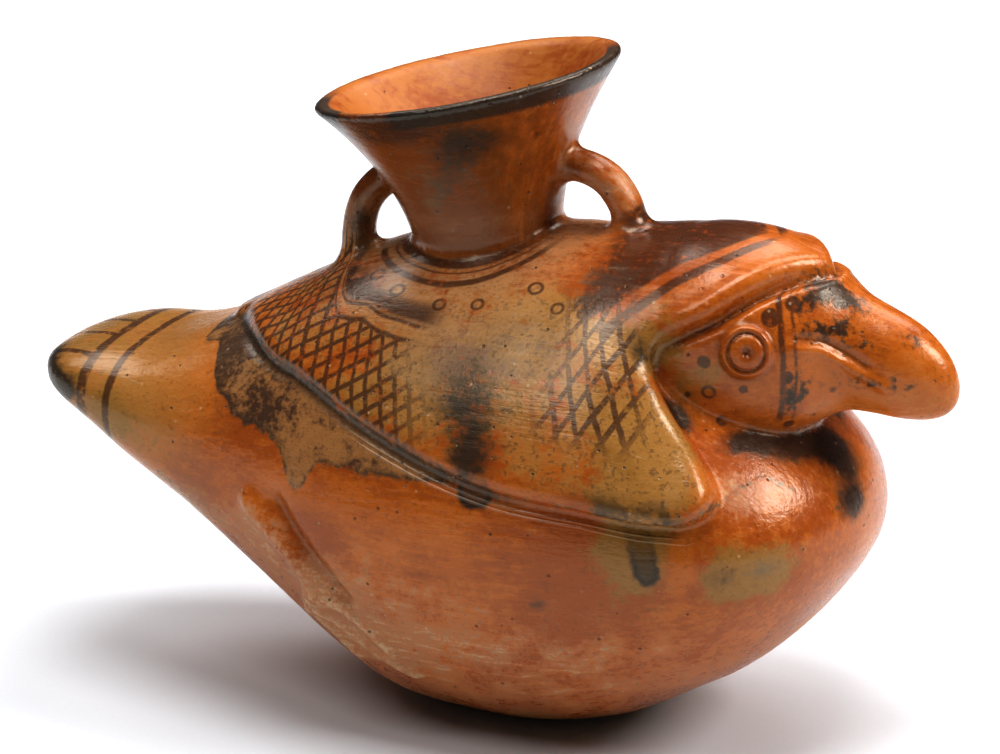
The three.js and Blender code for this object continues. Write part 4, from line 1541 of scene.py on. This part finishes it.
@dataclass
class BirdJar:
    """The jar: one piece of clay that stands for the solid of the same form."""

    form: BirdForm = field(default_factory=BirdForm)
    relief: Relief = field(default_factory=Relief)
    name: str = "bird_jar"
    node: str = "bird_vessel"
    slot: str = "painted_clay"
    inner_edge: float = 3.4
    plain_edge: float = 2.3
    fine_edge: float = 1.35
    dot_edge: float = 0.9
    eye_edge: float = 0.62
    refinings: int = 3

    def wanted(self, p: Points) -> Values:
        """Edge length to aim for at each point of the skin."""
        outer, _ = self.form.shells(p)
        x, y, z = p.T
        on_skin = np.abs(outer) < 1.5
        length = np.where(~on_skin & (z < 168), self.inner_edge, self.plain_edge)
        low, lead = self.form.wings.borders(self.form.body, p)
        edge = (np.abs(low) < 6) & (x > -110) & (x < 68)
        edge |= (np.abs(lead) < 6) & (x > 32) & (x < 68) & (low > -4)
        face = (x > 36) & (z > 94) & (np.abs(y) < 40)
        neck = (z > 136) & (x < 24)
        foot = (x > -78) & (x < -24) & (z < 72) & (z > 15) & (np.abs(y) > 40)
        length = np.where(on_skin & (edge | face | neck | foot), self.fine_edge, length)
        right = on_right(p)
        for dot in DOTS:
            near = np.linalg.norm(right - np.array(dot.middle), axis=1) < dot.size + 1.6
            length = np.where(near, self.dot_edge, length)
        eye = self.relief.from_eye(right, self.form.head)
        return np.where(eye < 9.5, self.eye_edge, length)

    def build(self) -> bpy.types.Object:
        """Make the piece's mesh with its painted values.

        Returns:
            The object, at the origin.
        """
        skin = Skin(self.form)
        vertices, quads = skin.cells()
        vertices = self.form.settle(vertices, 3)
        faces = np.vstack([quads[:, [0, 1, 2]], quads[:, [0, 2, 3]]])
        for _ in range(self.refinings):
            vertices, faces = skin.refine(vertices, faces, self.wanted)
        values = SlipPaint(self.form).values(vertices)
        values.update(self.relief.traces(vertices, self.form.head, values))
        normal = self.form.slope(vertices)
        normal /= np.maximum(np.linalg.norm(normal, axis=1), 1e-6)[:, None]
        shaped = vertices + normal * self.relief.heights(vertices, self.form.head, values)[:, None]
        shaped[:, 2] = np.maximum(shaped[:, 2], 0)
        values["free"] = smooth_step(shaped[:, 2], 0.5, 6.0)
        mesh = bpy.data.meshes.new(self.name)
        mesh.from_pydata(((shaped + np.array([STATION_SHIFT, 0, 0])) * MM).tolist(), [], faces.tolist())
        for key, numbers in values.items():
            mesh.attributes.new(key, "FLOAT", "POINT").data.foreach_set("value", numbers.astype(np.float32))
        piece = bpy.data.objects.new(self.name, mesh)
        bpy.context.scene.collection.objects.link(piece)
        return piece

    def dress(self, piece: bpy.types.Object) -> None:
        """Give the piece its hand finish and materials, and its place in the frame."""
        burnish, grit = Burnish().make(), Grit().make()
        slip = SlipFinish(burnish, grit, RaggedStain().make()).make("burnished_slip")
        inside = InsideFinish(burnish, grit).make("inner_clay")
        HandFinish().apply(piece, slip, inside)
        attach(piece, "root")
        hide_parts(self.node)


@dataclass(frozen=True)
class Softbox:
    """A soft lamp: its place, where it aims, its size and its power."""

    name: str
    place: Sequence[float]
    aim: Sequence[float]
    size: float
    watts: float

    def hang(self) -> None:
        """Put the lamp in the scene."""
        light = bpy.data.lights.new(self.name, "AREA")
        light.shape = "SQUARE"
        light.size = self.size
        light.energy = self.watts
        lamp = bpy.data.objects.new(self.name, light)
        lamp.location = self.place
        lamp.rotation_euler = (Vector(self.aim) - Vector(self.place)).to_track_quat("-Z", "Y").to_euler()
        bpy.context.scene.collection.objects.link(lamp)


@dataclass
class Studio:
    """Pale floor, soft light and the camera."""

    target: Sequence[float] = (-0.011, 0.0, 0.094)
    azimuth: float = 24.0
    elevation: float = 18.0
    distance: float = 1.6
    lens: float = 202.1
    floor_half: float = 5.0
    floor_tones: Sequence[Colour] = ((0.70, 0.72, 0.75), (0.74, 0.76, 0.79))
    floor_roughness: float = 0.9
    room: float = 0.05
    gamma: float = 0.8
    lamps: Sequence[Softbox] = (
        Softbox("right_softbox", (1.8, 0.55, 1.6), (0.0, 0.0, 0.06), 1.0, 50.0),
        Softbox("front_softbox", (-0.6, -1.3, 2.1), (0.0, 0.0, 0.06), 1.0, 20.0),
        Softbox("back_softbox", (0.2, 1.4, 2.0), (0.0, 0.0, 0.06), 1.3, 25.0),
        Softbox("left_softbox", (-1.3, 0.8, 1.85), (0.0, 0.0, 0.06), 1.0, 14.0),
        Softbox("top_softbox", (0.0, -0.15, 2.6), (0.0, 0.0, 0.1), 1.3, 54.0),
    )

    def floor(self) -> bpy.types.Object:
        """A plain pale floor under the jar."""
        half = self.floor_half
        mesh = bpy.data.meshes.new("floor")
        mesh.from_pydata([(-half, -half, 0), (half, -half, 0), (half, half, 0), (-half, half, 0)], [], [(0, 1, 2, 3)])
        material = bpy.data.materials.new("pale_floor")
        material.use_nodes = True
        n = Nodes(material.node_tree)
        shader = material.node_tree.nodes["Principled BSDF"]
        tone = n.noise(n.stations(), 1.4, 2)
        n.feed(shader.inputs["Base Color"], n.mix(tone, *self.floor_tones))
        shader.inputs["Roughness"].default_value = self.floor_roughness
        mesh.materials.append(material)
        floor = bpy.data.objects.new("floor", mesh)
        bpy.context.scene.collection.objects.link(floor)
        return floor

    def light(self) -> None:
        """A dim room and the lamps."""
        scene = bpy.context.scene
        world = bpy.data.worlds.new("room")
        world.use_nodes = True
        back = world.node_tree.nodes["Background"]
        back.inputs["Color"].default_value = (1.0, 1.0, 1.0, 1.0)
        back.inputs["Strength"].default_value = self.room
        scene.world = world
        scene.view_settings.view_transform = "Standard"
        scene.view_settings.gamma = self.gamma
        for lamp in self.lamps:
            lamp.hang()

    def camera(self) -> None:
        """The camera at the jar's right front."""
        turn, tilt = math.radians(self.azimuth), math.radians(self.elevation)
        away = Vector((math.sin(turn) * math.cos(tilt), -math.cos(turn) * math.cos(tilt), math.sin(tilt)))
        lens = bpy.data.cameras.new("camera")
        lens.lens = self.lens
        lens.sensor_width = 36.0
        lens.clip_end = 50.0
        camera = bpy.data.objects.new("camera", lens)
        camera.location = Vector(self.target) + self.distance * away
        camera.rotation_euler = (-away).to_track_quat("-Z", "Y").to_euler()
        bpy.context.scene.collection.objects.link(camera)
        bpy.context.scene.camera = camera


def main() -> None:
    """Build the studio and the jar, and report each piece."""
    logging.basicConfig(level=logging.INFO, format="%(name)s: %(message)s")
    studio = Studio()
    studio.camera()
    studio.light()
    studio.floor()
    jar = BirdJar()
    piece = jar.build()
    jar.dress(piece)
    log.info("%s: %d triangles", piece.name, sum(len(face.vertices) - 2 for face in piece.data.polygons))


if __name__ == "__main__":
    main()
